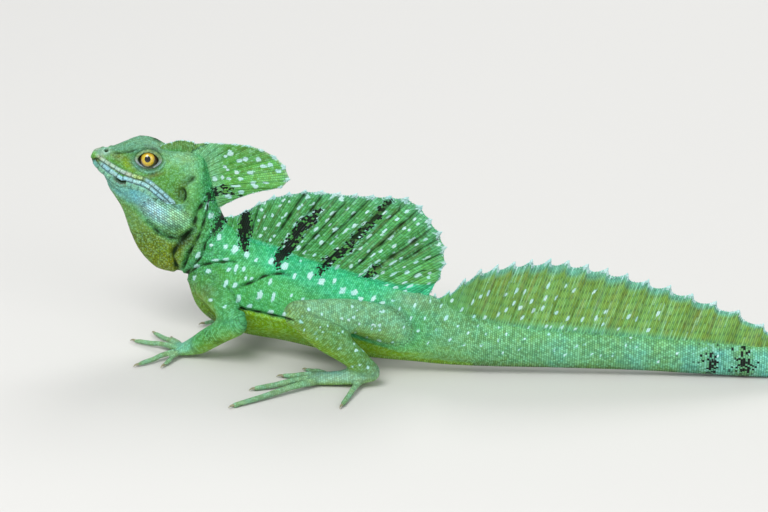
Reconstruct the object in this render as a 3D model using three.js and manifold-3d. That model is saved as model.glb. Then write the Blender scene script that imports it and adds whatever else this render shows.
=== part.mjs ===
// A life-size green basilisk, a crested tropical lizard, crouched on the floor with its head raised and its tail
// laid out behind. Millimetres, +Z up. The head points along -X and the animal's left side faces -Y.
import * as THREE from "three";
import { mergeVertices } from "three/addons/utils/BufferGeometryUtils.js";
import Module from "manifold-3d";

const wasm = await Module();
wasm.setup();

// Driving dimensions. Heights are above the floor, and x = 0 is over the hips.
const GAP = 0.3; // between two nodes that meet
const SNOUT_X = -163.5;
const CHEST_X = -113.5;
const VENT_X = 22;
const TAIL_TIP_X = 512;
const HEAD_Y = 22; // the head's mid plane
const EYE = { x: -132.5, out: 6.9, z: 102.6, radius: 5.2 };
const NOSTRIL = { x: -154.8, out: 5, z: 102.4, radius: 0.9 };
const EARDRUM = { x: -116.2, z: 84.3, radius: 3.6, depth: 1.3 };
const FLOOR_CUT = 60; // how far below the floor the cutting block reaches
const TAIL_CUTS = [VENT_X, 105, 195, 295, 400];

const left = -1;
const right = 1;

const material = (name, color, roughness) =>
  new THREE.MeshStandardMaterial({ name, color, roughness, metalness: 0 });
const skinGreen = material("skin", 0x3fae4a, 0.5);
const throatGreen = material("throat_skin", 0x8fb437, 0.55);
const crestGreen = material("crest", 0x6fae2c, 0.5);
const eyeGold = material("eye", 0xe8b100, 0.1);

// A smooth function through [x, value] points that never overshoots them.
function profile(points) {
  const last = points.length - 1;
  const slope = points.slice(1).map(([x, v], i) => (v - points[i][1]) / (x - points[i][0]));
  const tangent = points.map((_, i) => {
    if (i === 0) return slope[0];
    if (i === last) return slope[last - 1];
    const [before, after] = [slope[i - 1], slope[i]];
    return before * after <= 0 ? 0 : (2 * before * after) / (before + after);
  });
  return (x) => {
    if (x <= points[0][0]) return points[0][1];
    if (x >= points[last][0]) return points[last][1];
    const i = points.findIndex(([end]) => x <= end) - 1;
    const width = points[i + 1][0] - points[i][0];
    const t = (x - points[i][0]) / width;
    const rise = points[i + 1][1] - points[i][1];
    const [a, b] = [tangent[i] * width, tangent[i + 1] * width];
    return points[i][1] + a * t + (3 * rise - 2 * a - b) * t * t + (a + b - 2 * rise) * t * t * t;
  };
}

// Evenly spaced numbers from start to end, both included.
const steps = (start, end, count) =>
  Array.from({ length: count + 1 }, (_, i) => start + ((end - start) * i) / count);

const mean = (points) =>
  points.reduce((sum, p) => sum.add(p), new THREE.Vector3()).divideScalar(points.length);

// A closed skin over rings of points, each ring with the same count: a sphere's grid with its rows moved to the rings
// and its poles to the middles of the first and last ring.
function loft(rings) {
  const sides = rings[0].length;
  const geometry = new THREE.SphereGeometry(1, sides, rings.length + 1);
  const position = geometry.getAttribute("position");
  const rows = [[mean(rings[0])], ...rings, [mean(rings[rings.length - 1])]];
  rows.forEach((row, r) => {
    for (let c = 0; c <= sides; c += 1) {
      const p = row[c % row.length];
      position.setXYZ(r * (sides + 1) + c, p.x, p.y, p.z);
    }
  });
  return solid(geometry);
}

// A three.js geometry as a solid, turned right side out.
function solid(geometry) {
  const bare = new THREE.BufferGeometry()
    .setAttribute("position", geometry.getAttribute("position").clone())
    .setIndex(geometry.index);
  const merged = mergeVertices(bare, 1e-4);
  const triVerts = new Uint32Array(merged.index.array);
  const build = () =>
    new wasm.Manifold(
      new wasm.Mesh({ numProp: 3, vertProperties: merged.getAttribute("position").array, triVerts }),
    );
  const made = build();
  if (made.volume() > 0) return made;
  for (let i = 0; i < triVerts.length; i += 3) {
    [triVerts[i + 1], triVerts[i + 2]] = [triVerts[i + 2], triVerts[i + 1]];
  }
  return build();
}

const union = (...solids) => solids.reduce((whole, s) => whole.add(s));

const floorBlock = solid(new THREE.BoxGeometry(2000, 2000, FLOOR_CUT).translate(0, 0, -FLOOR_CUT / 2));

// The named mesh of a solid: its largest closed body, cut flat at the floor.
function node(name, shape, look) {
  const bodies = shape.subtract(floorBlock).decompose();
  const biggest = bodies.reduce((a, b) => (b.volume() > a.volume() ? b : a));
  const { vertProperties, triVerts } = biggest.getMesh();
  const geometry = new THREE.BufferGeometry()
    .setAttribute("position", new THREE.BufferAttribute(new Float32Array(vertProperties), 3))
    .setIndex(new THREE.BufferAttribute(new Uint32Array(triVerts), 1));
  geometry.computeVertexNormals();
  const mesh = new THREE.Mesh(geometry, look);
  mesh.name = name;
  return mesh;
}

// An ellipsoid.
function ellipsoid([x, y, z], [rx, ry, rz], tilt = 0, detail = 12) {
  return solid(
    new THREE.SphereGeometry(1, detail, Math.round(detail * 0.75))
      .scale(rx, ry, rz)
      .rotateY(tilt)
      .translate(x, y, z),
  );
}

const CAP_SHRINK = 0.66; // the one ring of a rounded end, as a share of the tube's radius
const CAP_LIFT = 0.75; // and how far it stands out, in the same share

// A tapering tube through stations [x, y, z, radius across, radius deep], with rounded ends. flat is the direction
// in which the deep radius lies.
function tube(stations, { sides = 8, rings = 6, flat = [0, 1, 0], grow = 0, round = 0.8 } = {}) {
  const path = new THREE.CatmullRomCurve3(stations.map(([x, y, z]) => new THREE.Vector3(x, y, z)));
  const at = (column) => {
    const values = profile(stations.map((s, i) => [i / (stations.length - 1), s[column] ?? s[3]]));
    return (t) => values(t) + grow;
  };
  const [across, deep] = [at(3), at(4)];
  const ring = (t, shrink, push) => {
    const forward = path.getTangent(t).normalize();
    const side = new THREE.Vector3().crossVectors(forward, new THREE.Vector3(...flat)).normalize();
    const depth = new THREE.Vector3().crossVectors(side, forward).normalize();
    const centre = path.getPoint(t).addScaledVector(forward, push);
    return Array.from({ length: sides }, (_, i) => {
      const angle = (2 * Math.PI * (i + 0.5)) / sides;
      return centre
        .clone()
        .addScaledVector(side, Math.cos(angle) * across(t) * shrink)
        .addScaledVector(depth, Math.sin(angle) * deep(t) * shrink);
    });
  };
  const cap = (t, direction) =>
    ring(t, CAP_SHRINK, direction * CAP_LIFT * round * Math.min(across(t), deep(t)));
  return loft([cap(0, -1), ...steps(0, 1, rings).map((t) => ring(t, 1, 0)), cap(1, 1)]);
}

// The body's mid line in plan, seen from above.
const midline = profile([
  [-163, 22], [-104, 20.5], [-93, 18.6], [-79, 15], [-66, 10.7], [-52, 6], [-30, -1], [-13, -5], [5, -7],
  [30, -7], [85, -4.5], [127, -2.5], [195, 0], [260, 4], [330, 14], [400, 28], [460, 40], [512, 47],
]);

// Torso and tail: back line, belly line and half width along x.
const backLine = profile([
  [-113.5, 50], [-110, 61], [-104, 68], [-97, 70], [-88, 65.5], [-79, 59.5], [-66, 57.4], [-52, 55.7],
  [-30, 51], [-13, 47.7], [5, 43.8], [16, 42.5], [24, 38.5], [33, 33.5], [43, 30], [54, 27.8], [69, 25],
  [85, 23.6], [127, 21.6], [195, 18], [260, 14.2], [330, 10.4], [400, 7.2], [460, 4.8], [500, 3], [512, 2.2],
]);
const bellyLine = profile([
  [-113.5, 44], [-110, 29], [-106, 19], [-98, 12], [-88, 8.4], [-78, 7.2], [-61, 7.6], [-30, 5.6], [5, 4.6],
  [22, 3.2], [44, 2.7], [85, 2.5], [120, 2], [155, 0.8], [190, -0.3], [512, -0.5],
]);
const trunkHalfWidth = profile([
  [-113.5, 3], [-110, 9], [-105, 13.5], [-98, 16.6], [-88, 18.4], [-79, 19.4], [-66, 20.4], [-52, 20.8],
  [-30, 19], [-13, 16], [5, 13.5], [22, 11.5], [43, 9.8], [65, 8.8], [85, 8.2], [127, 7.3], [195, 6.2],
  [260, 5.2], [330, 4.2], [400, 3.3], [460, 2.5], [500, 1.8], [512, 1.2],
]);
const TRUNK_WAIST = 0.42; // height of the widest level, as a share of the section
const TRUNK_RIDGE = 0.42; // how far the flanks lean in towards the crest

function trunkRing(x, sides, grow = 0) {
  const [top, bottom, half] = [backLine(x), bellyLine(x), trunkHalfWidth(x)];
  const waist = bottom + (top - bottom) * TRUNK_WAIST;
  return Array.from({ length: sides }, (_, i) => {
    const angle = (2 * Math.PI * i) / sides;
    const [rise, out] = [Math.cos(angle), Math.sin(angle)];
    const lean = 1 - TRUNK_RIDGE * Math.max(0, rise) ** 2;
    const reach = rise > 0 ? top - waist : waist - bottom;
    return new THREE.Vector3(x, midline(x) + (half + grow) * out * lean, waist + (reach + grow) * rise);
  });
}

const trunk = (xs, sides, grow = 0) => loft(xs.map((x) => trunkRing(x, sides, grow)));

const torsoBlank = (grow) =>
  trunk([...steps(CHEST_X - grow, -97, 4), ...steps(-88, VENT_X - GAP, 11)], 16, grow);

// Head: crown line, jaw line and half width along x, with a squarish section.
const crownLine = profile([
  [-163.5, 100.3], [-162, 102.5], [-160, 103.8], [-157.5, 104.5], [-154.5, 104.6], [-151.5, 105.7], [-148.6, 107.5],
  [-145.4, 109.4], [-140.8, 110.6], [-136.6, 110.4], [-132.4, 108.7], [-128.4, 106.7], [-122, 105.6], [-112, 105.6],
  [-106, 104.5], [-102, 100], [-100, 95],
]);
const jawLine = profile([
  [-163.5, 98], [-161.5, 95], [-158.5, 91.5], [-154, 87], [-150.8, 84], [-143.2, 77.4], [-134.2, 70.8],
  [-126, 67.3], [-120, 65.8], [-113, 66.4], [-107, 71], [-102, 80], [-100, 88],
]);
const headHalfWidth = profile([
  [-163.5, 1.6], [-162, 3.2], [-159, 4.6], [-155, 5.5], [-150, 6.3], [-144, 7.7], [-138, 9.3], [-131, 11],
  [-124, 12.2], [-116, 12.8], [-109, 12], [-103, 9], [-100, 6.5],
]);
const HEAD_SQUARE = 0.78; // 1 is an ellipse, and less is squarer
const HEAD_WAIST = 0.4;

const squared = (value) => Math.sign(value) * Math.abs(value) ** HEAD_SQUARE;

function headRing(x, sides, grow) {
  const [top, bottom, half] = [crownLine(x), jawLine(x), headHalfWidth(x)];
  const waist = bottom + (top - bottom) * HEAD_WAIST;
  return Array.from({ length: sides }, (_, i) => {
    const angle = (2 * Math.PI * i) / sides;
    const [rise, out] = [squared(Math.cos(angle)), squared(Math.sin(angle))];
    const reach = rise > 0 ? top - waist : waist - bottom;
    return new THREE.Vector3(x, HEAD_Y + (half + grow) * out, waist + (reach + grow) * rise);
  });
}

// How far the side of the head lies from its mid plane at a point of its profile.
function headSide(x, z) {
  const [top, bottom] = [crownLine(x), jawLine(x)];
  const waist = bottom + (top - bottom) * HEAD_WAIST;
  const share = Math.min(1, Math.abs(z - waist) / (z > waist ? top - waist : waist - bottom));
  const cosine = share ** (1 / HEAD_SQUARE);
  return headHalfWidth(x) * Math.sqrt(Math.max(0, 1 - cosine * cosine)) ** HEAD_SQUARE;
}

const headXs = [...steps(SNOUT_X, -155.5, 3), ...steps(-150.5, -107, 9), -102];
const skull = (grow) => loft(headXs.map((x) => headRing(x, 16, grow)));

// The round swelling of the jaw muscles and the throat behind each mouth corner.
const jowl = (side, grow) =>
  ellipsoid([-117, HEAD_Y + side * 7.2, 73], [13 + grow, 7.2 + grow, 8.6 + grow], 0.45);

// The brow: from above the nostril, over the eye, to the temple.
const brow = (side, grow) =>
  tube(
    [
      [-155, HEAD_Y + side * 3.6, 103.2, 1.1 + grow],
      [-147.5, HEAD_Y + side * 5.4, 105.6, 1.3 + grow],
      [-140.5, HEAD_Y + side * 8, 107.9, 1.7 + grow],
      [-133.5, HEAD_Y + side * 9.3, 108, 1.8 + grow],
      [-126, HEAD_Y + side * 9.2, 105, 1.4 + grow],
    ],
    { sides: 5, rings: 5, flat: [0, 0, 1] },
  );

const headBlank = (grow) =>
  union(skull(grow), ...[left, right].flatMap((side) => [jowl(side, grow), brow(side, grow)]));

// The mouth line in profile, from the tip of the snout to the corner.
const mouthLine = [[-166, 99], [-159.5, 97], [-154, 94.3], [-149.5, 91.8], [-143.5, 90.4], [-136.8, 88.8],
  [-130.8, 86.4], [-126.3, 83.4], [-121.7, 79.6], [-118.5, 76]];
const MOUTH_SLIT = 0.55;
const MOUTH_DEPTH = 2.2;
const LIP_RADIUS = 2.2;

function mouthCut() {
  const upper = mouthLine.map(([x, z]) => new THREE.Vector2(x, z + MOUTH_SLIT / 2));
  const lower = mouthLine.map(([x, z]) => new THREE.Vector2(x, z - MOUTH_SLIT / 2)).reverse();
  const outline = new THREE.Shape([...upper, ...lower]);
  const band = new THREE.ExtrudeGeometry(outline, { depth: 60, bevelEnabled: false });
  band.rotateX(Math.PI / 2).translate(0, HEAD_Y + 30, 0);
  return solid(band).subtract(skull(-MOUTH_DEPTH));
}

// The lips: a low roll along the mouth line, which the slit divides into an upper and a lower one.
const lips = (side) =>
  tube(
    mouthLine.slice(1, -1).map(([x, z]) => [x, HEAD_Y + side * (headSide(x, z) - 1.5), z, LIP_RADIUS]),
    { sides: 6, rings: 6, flat: [0, 0, 1] },
  );

const eyeBall = (side, grow = 0) =>
  ellipsoid([EYE.x, HEAD_Y + side * EYE.out, EYE.z], Array(3).fill(EYE.radius + grow), 0, 14);

// The lids: a swollen ring round the eye, turned outwards and a little forwards.
function lids(side) {
  const ring = new THREE.TorusGeometry(4.7, 1.25, 6, 14).scale(1.12, 0.94, 1.3);
  ring.rotateX(Math.PI / 2).rotateZ(side * -0.14);
  return solid(ring.translate(EYE.x, HEAD_Y + side * (EYE.out + 3.2), EYE.z));
}

function earCup(side) {
  const { x, z, radius, depth } = EARDRUM;
  const ball = (radius * radius + depth * depth) / (2 * depth);
  return ellipsoid([x, HEAD_Y + side * (headSide(x, z) - depth + ball), z], [ball, ball, ball], 0, 14);
}

const nostril = (side) =>
  ellipsoid(
    [NOSTRIL.x, HEAD_Y + side * NOSTRIL.out, NOSTRIL.z],
    [NOSTRIL.radius * 1.3, 1.8, NOSTRIL.radius],
    -0.4,
    8,
  );

function head() {
  const both = [left, right];
  const flesh = union(
    headBlank(0),
    ...both.flatMap((side) => [lids(side), lips(side)]),
  );
  const hollows = union(
    mouthCut(),
    ...both.flatMap((side) => [eyeBall(side, GAP), earCup(side), nostril(side)]),
  );
  return flesh.subtract(hollows);
}

// The neck rises from the shoulders to the back of the head.
const neckBlank = (grow) =>
  tube(
    [
      [-96, 19.3, 44, 16, 13],
      [-101.5, 20.2, 58, 14.5, 11.5],
      [-106, 21, 72, 11.5, 10],
      [-109, 21.8, 86, 11, 9.5],
      [-111, 22, 98, 9, 8],
    ],
    { sides: 12, rings: 6, grow, flat: [0, 1, 0] },
  );

// The throat fan: a thin pouch from the chin to the chest, by its front and lower outline.
const throatFront = profile([
  [-156, 88], [-152.5, 80.8], [-149, 75.8], [-146, 70.8], [-144.4, 65.4], [-142.2, 58.8], [-138.1, 49], [-132, 41.8],
  [-125.9, 37.4], [-119, 36.9], [-114, 38.6], [-110, 42], [-106, 48],
]);
const throatHalfWidth = profile([
  [-156, 1.6], [-152, 3], [-145, 4.2], [-136, 5.2], [-126, 6.4], [-116, 7.4], [-106, 7],
]);
const throatTop = profile([[-156, 92], [-146, 84], [-130, 78], [-106, 76]]);

function throat() {
  const rings = steps(-155.8, -106, 11).map((x) => {
    const [top, bottom, half] = [throatTop(x), throatFront(x), throatHalfWidth(x)];
    const middle = (top + bottom) / 2;
    return Array.from({ length: 10 }, (_, i) => {
      const angle = (2 * Math.PI * i) / 10;
      return new THREE.Vector3(
        x,
        midline(x) + half * Math.sin(angle),
        middle + ((top - bottom) / 2) * Math.cos(angle),
      );
    });
  });
  return loft(rings);
}

// A crest: stiff rays, each { root, tip } in profile, with a thin membrane between them. The sheet stands over the
// body's mid line. notch is how far the membrane's edge falls short of the ray tips.
const RAY_HALF = 0.85;
const MEMBRANE_HALF = 0.5;
const CREST_COLUMNS = [
  { share: 0, half: RAY_HALF, dip: 0 },
  { share: 0.25, half: MEMBRANE_HALF, dip: 1 },
  { share: 0.75, half: MEMBRANE_HALF, dip: 0.5 },
];

function crest(rays, notch, rows) {
  const columns = rays.slice(0, -1).flatMap((ray, i) =>
    CREST_COLUMNS.map(({ share, half, dip }) => ({
      root: ray.root.clone().lerp(rays[i + 1].root, share),
      tip: ray.tip.clone().lerp(rays[i + 1].tip, share),
      drop: notch * dip,
      half,
    })),
  );
  columns.push({ ...rays[rays.length - 1], drop: 0, half: RAY_HALF });
  return loft(
    columns.map(({ root, tip, drop, half }) => {
      const ray = tip.clone().sub(root);
      const reach = Math.max(0.5, ray.length() - drop);
      const up = steps(0, 1, rows).map((t) => {
        const p = root.clone().addScaledVector(ray.clone().normalize(), reach * t);
        return { p, half: half * (1.5 - 0.95 * t) + 0.02 };
      });
      const wall = (side) => ({ p, half: thick }) =>
        new THREE.Vector3(p.x, midline(p.x) + side * thick, p.y);
      return [...up.map(wall(left)), ...up.map(wall(right)).reverse()];
    }),
  );
}

const curve = (points) => new THREE.SplineCurve(points.map(([x, z]) => new THREE.Vector2(x, z)));

// Rays between two curves in profile, spread evenly along the edge; rootShare says where each one is rooted.
const raysBetween = (rootCurve, edgeCurve, count, rootShare = (t) => t) =>
  steps(0, 1, count).map((t) => ({ root: rootCurve.getPointAt(rootShare(t)), tip: edgeCurve.getPointAt(t) }));

const headCrest = () =>
  crest(
    raysBetween(
      curve([[-111, 103], [-106, 99], [-104, 92], [-103, 84], [-101.5, 76], [-100.5, 71.5]]),
      curve([
        [-109.6, 110], [-102, 110.9], [-93.4, 111.6], [-80.4, 112], [-70, 110], [-63, 105.6], [-58.8, 99.6], [-59.6, 93.6],
        [-66.8, 90], [-77.1, 86.4], [-87, 81], [-95.5, 75.4],
      ]),
      14,
    ),
    0.6,
    4,
  );

const browCrest = () =>
  crest(
    raysBetween(
      curve([[-126, 104.8], [-119.5, 103.4], [-112, 103.4]]),
      curve([[-127, 107.6], [-122, 109.9], [-116.8, 111.4], [-110.6, 110.9]]),
      5,
    ),
    0.3,
    3,
  );

// The rays of the back's crest fan out backwards from their roots.
const dorsalRootShare = profile([
  [0, 0], [0.158, 0.13], [0.321, 0.225], [0.454, 0.345], [0.596, 0.495], [0.682, 0.59], [0.757, 0.655],
  [0.855, 0.74], [1, 1],
]);

const dorsalCrest = () =>
  crest(
    raysBetween(
      curve([[-95, 63], [-84, 58], [-66, 52], [-40, 48.5], [-13, 42.5], [5, 38.5], [14.5, 37]]),
      curve([
        [-97.5, 71.4], [-89, 71.6], [-79.4, 77.4], [-70.9, 84], [-57.3, 90], [-43.8, 93.2], [-17.8, 94.6],
        [1.3, 95.6], [9.2, 91.8], [15.2, 84], [20.6, 76.8], [23.9, 67.3], [23, 54.5], [16.6, 43.6],
      ]),
      19,
      dorsalRootShare,
    ),
    1.5,
    4,
  );

// The tail crest's rays lean back, and each ends in a point over the next stretch of membrane.
const tailCrestHeight = profile([
  [17, 42.5], [24, 43], [33, 50.5], [41, 56.5], [53, 60], [64, 62.5], [85, 63.2], [104, 59.5], [118, 56.5],
  [131, 52.6], [146, 48.4], [160, 43.4], [175, 38.6], [187, 32.2], [200, 25.5], [230, 20.5], [270, 15.6],
]);
const TAIL_RAY_LEAN = 0.34; // how far a ray's tip lies behind its root, per height

function tailCrest() {
  const rays = [];
  for (let x = 19, pitch = 7.6; x < 262; x += pitch, pitch = Math.min(13, pitch * 1.035)) {
    const tip = new THREE.Vector2(x, tailCrestHeight(x));
    const height = tip.y - backLine(x);
    const rootX = x - TAIL_RAY_LEAN * height;
    rays.push({ root: new THREE.Vector2(rootX, backLine(rootX) - 4.5), tip });
  }
  return crest(rays, 3.4, 3);
}

const CLAW = 3.6; // how far a claw reaches past its toe

// A toe or finger from its root, turned by spread from the foot's heading, with its claw.
function digit(root, heading, { length, radius, arch = 1.2 }) {
  const [dx, dy] = [-Math.cos(heading), Math.sin(heading)];
  const at = (share, z, ...radii) => [root[0] + dx * length * share, root[1] + dy * length * share, z, ...radii];
  const flesh = tube(
    [
      at(0, root[2], radius * 1.35),
      at(0.3, 2.2 + arch, radius * 1.05),
      at(0.62, 1.7 + arch * 0.4, radius),
      at(1, 1.15, radius * 0.9),
    ],
    { sides: 6, rings: 3, flat: [0, 0, 1] },
  );
  const claw = tube([at(0.95, 1.5, 0.85), at(1 + CLAW / length, 0.9, 0.25)], {
    sides: 4, rings: 1, flat: [0, 0, 1],
  });
  return union(flesh, claw);
}

const DEGREE = Math.PI / 180;

// Fingers from the inner one outwards: the turn from the hand's heading, towards the body's mid line.
const FINGERS = [
  { spread: 70, length: 15, radius: 1.4, ring: 6.4 },
  { spread: 56, length: 25, radius: 1.45, ring: 6.6 },
  { spread: 27, length: 25.5, radius: 1.5, ring: 6 },
  { spread: -38, length: 24.5, radius: 1.5, ring: 6 },
  { spread: -62, length: 15, radius: 1.35, ring: 6.2 },
];

function hand(side, wrist, palm, turn) {
  const middle = [(wrist[0] + palm[0]) / 2, (wrist[1] + palm[1]) / 2, (wrist[2] + palm[2]) / 2 + 0.5];
  const pad = tube([[...wrist, 5.8, 5], [...middle, 6.5, 4.2], [...palm, 6.4, 3.1]], {
    rings: 3, flat: [0, 0, 1], round: 1.4,
  });
  const digits = FINGERS.map(({ spread, ring, ...form }) => {
    const heading = turn - side * spread * DEGREE;
    const root = [palm[0] - Math.cos(heading) * ring * 0.6, palm[1] + Math.sin(heading) * ring * 0.75, 3.2];
    return digit(root, heading, form);
  });
  return union(pad, ...digits);
}

// Toes from the inner one outwards. back is how far behind the toe bases a toe leaves the foot.
const TOES = [
  { spread: 43, length: 13, radius: 1.5, back: 3, out: -6 },
  { spread: 6, length: 19, radius: 1.55, back: 0, out: -3.6 },
  { spread: -22, length: 34, radius: 1.65, back: -1, out: -0.4 },
  { spread: -37, length: 53, radius: 1.7, back: 0, out: 3 },
  { spread: -72, length: 29, radius: 1.55, back: 22, out: 1.5 },
];

function foot(side, ankle, ball, turn) {
  const middle = [(ankle[0] + ball[0]) / 2, (ankle[1] + ball[1]) / 2, (ankle[2] + ball[2]) / 2 - 0.6];
  const sole = tube([[...ankle, 5.2, 4.8], [...middle, 5.6, 4], [...ball, 5.9, 3.1]], {
    rings: 4, flat: [0, 0, 1], round: 1.3,
  });
  const [fx, fy] = [-Math.cos(turn), Math.sin(turn)];
  const digits = TOES.map(({ spread, back, out, ...form }) => {
    const root = [ball[0] - fx * back - fy * side * -out, ball[1] - fy * back + side * -fx * out, 3.3];
    return digit(root, turn - side * spread * DEGREE, form);
  });
  return union(sole, ...digits);
}

// A fore limb: upper arm, forearm and hand, each meeting the one above it.
function foreLimb(label, side, { shoulder, elbow, wrist, palm, turn }) {
  const upper = (grow) =>
    tube([[...shoulder, 8.6, 7.4], [...mid(shoulder, elbow, 0.5, 1), 7.2, 6.6], [...elbow, 5.9, 5.4]], {
      grow,
    });
  const fore = (grow) =>
    tube([[...elbow, 6.2, 5.8], [...mid(elbow, wrist, 0.45, 1), 6.4, 6], [...wrist, 5.8, 5.4]], {
      grow,
    });
  return [
    node(`${label}_upper_arm`, upper(0).subtract(torsoBlank(GAP)), skinGreen),
    node(`${label}_forearm`, fore(0).subtract(upper(GAP)), skinGreen),
    node(`${label}_hand`, hand(side, wrist, palm, turn).subtract(fore(GAP)), skinGreen),
  ];
}

// A hind limb: thigh, shank and foot.
function hindLimb(label, side, { hip, knee, ankle, ball, turn }) {
  const thigh = (grow) =>
    tube([[...hip, 11, 8], [...mid(hip, knee, 0.5, 3), 9.2, 8], [...knee, 7.2, 6.6]], {
      sides: 10, grow,
    });
  const shank = (grow) =>
    tube(
      [[...knee, 7.4, 6.4], [...mid(knee, ankle, 0.3, 0), 9.2, 7], [...mid(knee, ankle, 0.65, 0), 7, 5.8],
        [...ankle, 4.8, 4.5]],
      { rings: 7, sides: 10, grow },
    );
  return [
    node(`${label}_thigh`, thigh(0).subtract(torsoBlank(GAP)).subtract(tailLength(0, GAP)), skinGreen),
    node(`${label}_shank`, shank(0).subtract(thigh(GAP)), skinGreen),
    node(`${label}_foot`, foot(side, ankle, ball, turn).subtract(shank(GAP)), skinGreen),
  ];
}

// A point between two joints, raised a little.
const mid = (a, b, share, lift) => a.map((v, i) => v + (b[i] - v) * share + (i === 2 ? lift : 0));

// One length of the tail, between two of its cuts.
function tailLength(i, grow = 0) {
  const start = TAIL_CUTS[i];
  const end = (TAIL_CUTS[i + 1] ?? TAIL_TIP_X + GAP) - GAP;
  return trunk(steps(start - grow, end + grow, 6), 12, grow);
}

const torso = node("torso", torsoBlank(0).subtract(headBlank(GAP)), skinGreen);
const tail = TAIL_CUTS.map((_, i) => node(`tail_${i + 1}`, tailLength(i), skinGreen));
const trunkGrown = union(torsoBlank(GAP), ...TAIL_CUTS.slice(0, 3).map((_, i) => tailLength(i, GAP)));
const headGrown = headBlank(GAP);

const basilisk = new THREE.Group();
basilisk.add(
  torso,
  ...tail,
  node("head", head(), skinGreen),
  node("neck", neckBlank(0).subtract(headGrown).subtract(torsoBlank(GAP)), skinGreen),
  node(
    "throat",
    throat().subtract(headGrown).subtract(neckBlank(GAP)).subtract(torsoBlank(GAP)),
    throatGreen,
  ),
  node("left_eye", eyeBall(left), eyeGold),
  node("right_eye", eyeBall(right), eyeGold),
  node("head_crest", headCrest().subtract(headGrown).subtract(neckBlank(GAP)), crestGreen),
  node("brow_crest", browCrest().subtract(headGrown), crestGreen),
  node("dorsal_crest", dorsalCrest().subtract(trunkGrown).subtract(neckBlank(GAP)), crestGreen),
  node("tail_crest", tailCrest().subtract(trunkGrown), crestGreen),
  ...foreLimb("left", left, {
    shoulder: [-100, 7, 37],
    elbow: [-82.5, -17, 24.5],
    wrist: [-104.5, -4.5, 6.4],
    palm: [-112, -3, 2.8],
    turn: 0,
  }),
  ...foreLimb("right", right, {
    shoulder: [-97, 31, 37],
    elbow: [-56, 49, 27],
    wrist: [-68, 48, 6.4],
    palm: [-75.5, 47.5, 2.8],
    turn: 8 * DEGREE,
  }),
  ...hindLimb("left", left, {
    hip: [2, -14, 25],
    knee: [-51, -40, 42],
    ankle: [-11, -33.5, 7.5],
    ball: [-40, -33.5, 2.9],
    turn: 0,
  }),
  ...hindLimb("right", right, {
    hip: [2, 0, 25],
    knee: [-34, 38, 34],
    ankle: [14, 19, 7.5],
    ball: [-13, 27, 2.9],
    turn: 16 * DEGREE,
  }),
);

// The origin is on the floor, under the middle of the animal's box.
const box = new THREE.Box3().setFromObject(basilisk);
const middle = box.getCenter(new THREE.Vector3());
basilisk.position.set(-middle.x, -middle.y, -box.min.z);

export default basilisk;
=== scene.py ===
"""Looks of a life-size green basilisk: one scaled skin, four crests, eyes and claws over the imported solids.

Shapes are worked out in millimetres in the part's own design frame. The head points along -x, x = 0 lies
over the hips, the left side faces -y and z is the height above the floor. piece() takes a finished mesh from
there to the model's frame.
"""

import math

import bmesh
import bpy
import numpy as np
from mathutils import Matrix, Vector


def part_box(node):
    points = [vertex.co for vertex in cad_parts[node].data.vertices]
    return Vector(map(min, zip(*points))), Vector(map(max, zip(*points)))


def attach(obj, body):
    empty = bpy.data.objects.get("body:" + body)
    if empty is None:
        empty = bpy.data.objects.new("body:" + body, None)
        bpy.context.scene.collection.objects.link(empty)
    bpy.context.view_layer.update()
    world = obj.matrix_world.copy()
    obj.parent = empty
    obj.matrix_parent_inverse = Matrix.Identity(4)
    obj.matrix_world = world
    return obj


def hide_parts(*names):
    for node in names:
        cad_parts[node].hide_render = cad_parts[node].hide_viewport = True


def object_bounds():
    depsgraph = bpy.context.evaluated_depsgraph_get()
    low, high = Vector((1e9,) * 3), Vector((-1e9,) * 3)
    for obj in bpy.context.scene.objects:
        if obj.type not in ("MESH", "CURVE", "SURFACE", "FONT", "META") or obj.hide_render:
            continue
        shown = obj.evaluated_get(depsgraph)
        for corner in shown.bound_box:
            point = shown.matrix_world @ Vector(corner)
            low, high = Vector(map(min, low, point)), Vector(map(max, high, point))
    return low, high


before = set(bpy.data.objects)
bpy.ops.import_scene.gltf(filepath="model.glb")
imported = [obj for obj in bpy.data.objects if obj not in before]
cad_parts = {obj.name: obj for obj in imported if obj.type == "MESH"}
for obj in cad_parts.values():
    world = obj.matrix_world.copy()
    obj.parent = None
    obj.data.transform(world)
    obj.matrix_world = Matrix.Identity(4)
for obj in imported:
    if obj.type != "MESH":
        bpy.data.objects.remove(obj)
CAD_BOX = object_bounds()

MM = 0.001
LEFT, RIGHT = -1, 1
HEAD_Y = 22.0
EYE = dict(x=-132.5, out=6.9, z=102.6, radius=5.2)
# Where the head, with what the photograph shows of it, begins.
HEAD_END = -104


def box_middle(node):
    low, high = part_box(node)
    return (np.array(low) + np.array(high)) / 2


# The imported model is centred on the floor, so its left eye tells how far the design frame was moved.
EYE_AT = np.array([EYE["x"], HEAD_Y - EYE["out"], EYE["z"]])
SHIFT = box_middle("left_eye") / MM - EYE_AT
SHIFT[2] = 0.0

# Numbers and curves.


def profile(points):
    """A smooth function through (x, value) points that never overshoots them."""
    x, v = np.array(points, float).T
    slope = np.diff(v) / np.diff(x)
    before, after = slope[:-1], slope[1:]
    same = before * after > 0
    inner = np.where(same, 2 * before * after / np.where(same, before + after, 1), 0)
    tangent = np.concatenate([slope[:1], inner, slope[-1:]])

    def at(where):
        where = np.clip(np.asarray(where, float), x[0], x[-1])
        i = np.clip(np.searchsorted(x, where) - 1, 0, len(x) - 2)
        width = x[i + 1] - x[i]
        t = (where - x[i]) / width
        rise = v[i + 1] - v[i]
        a, b = tangent[i] * width, tangent[i + 1] * width
        return v[i] + a * t + (3 * rise - 2 * a - b) * t**2 + (a + b - 2 * rise) * t**3

    return at


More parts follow.
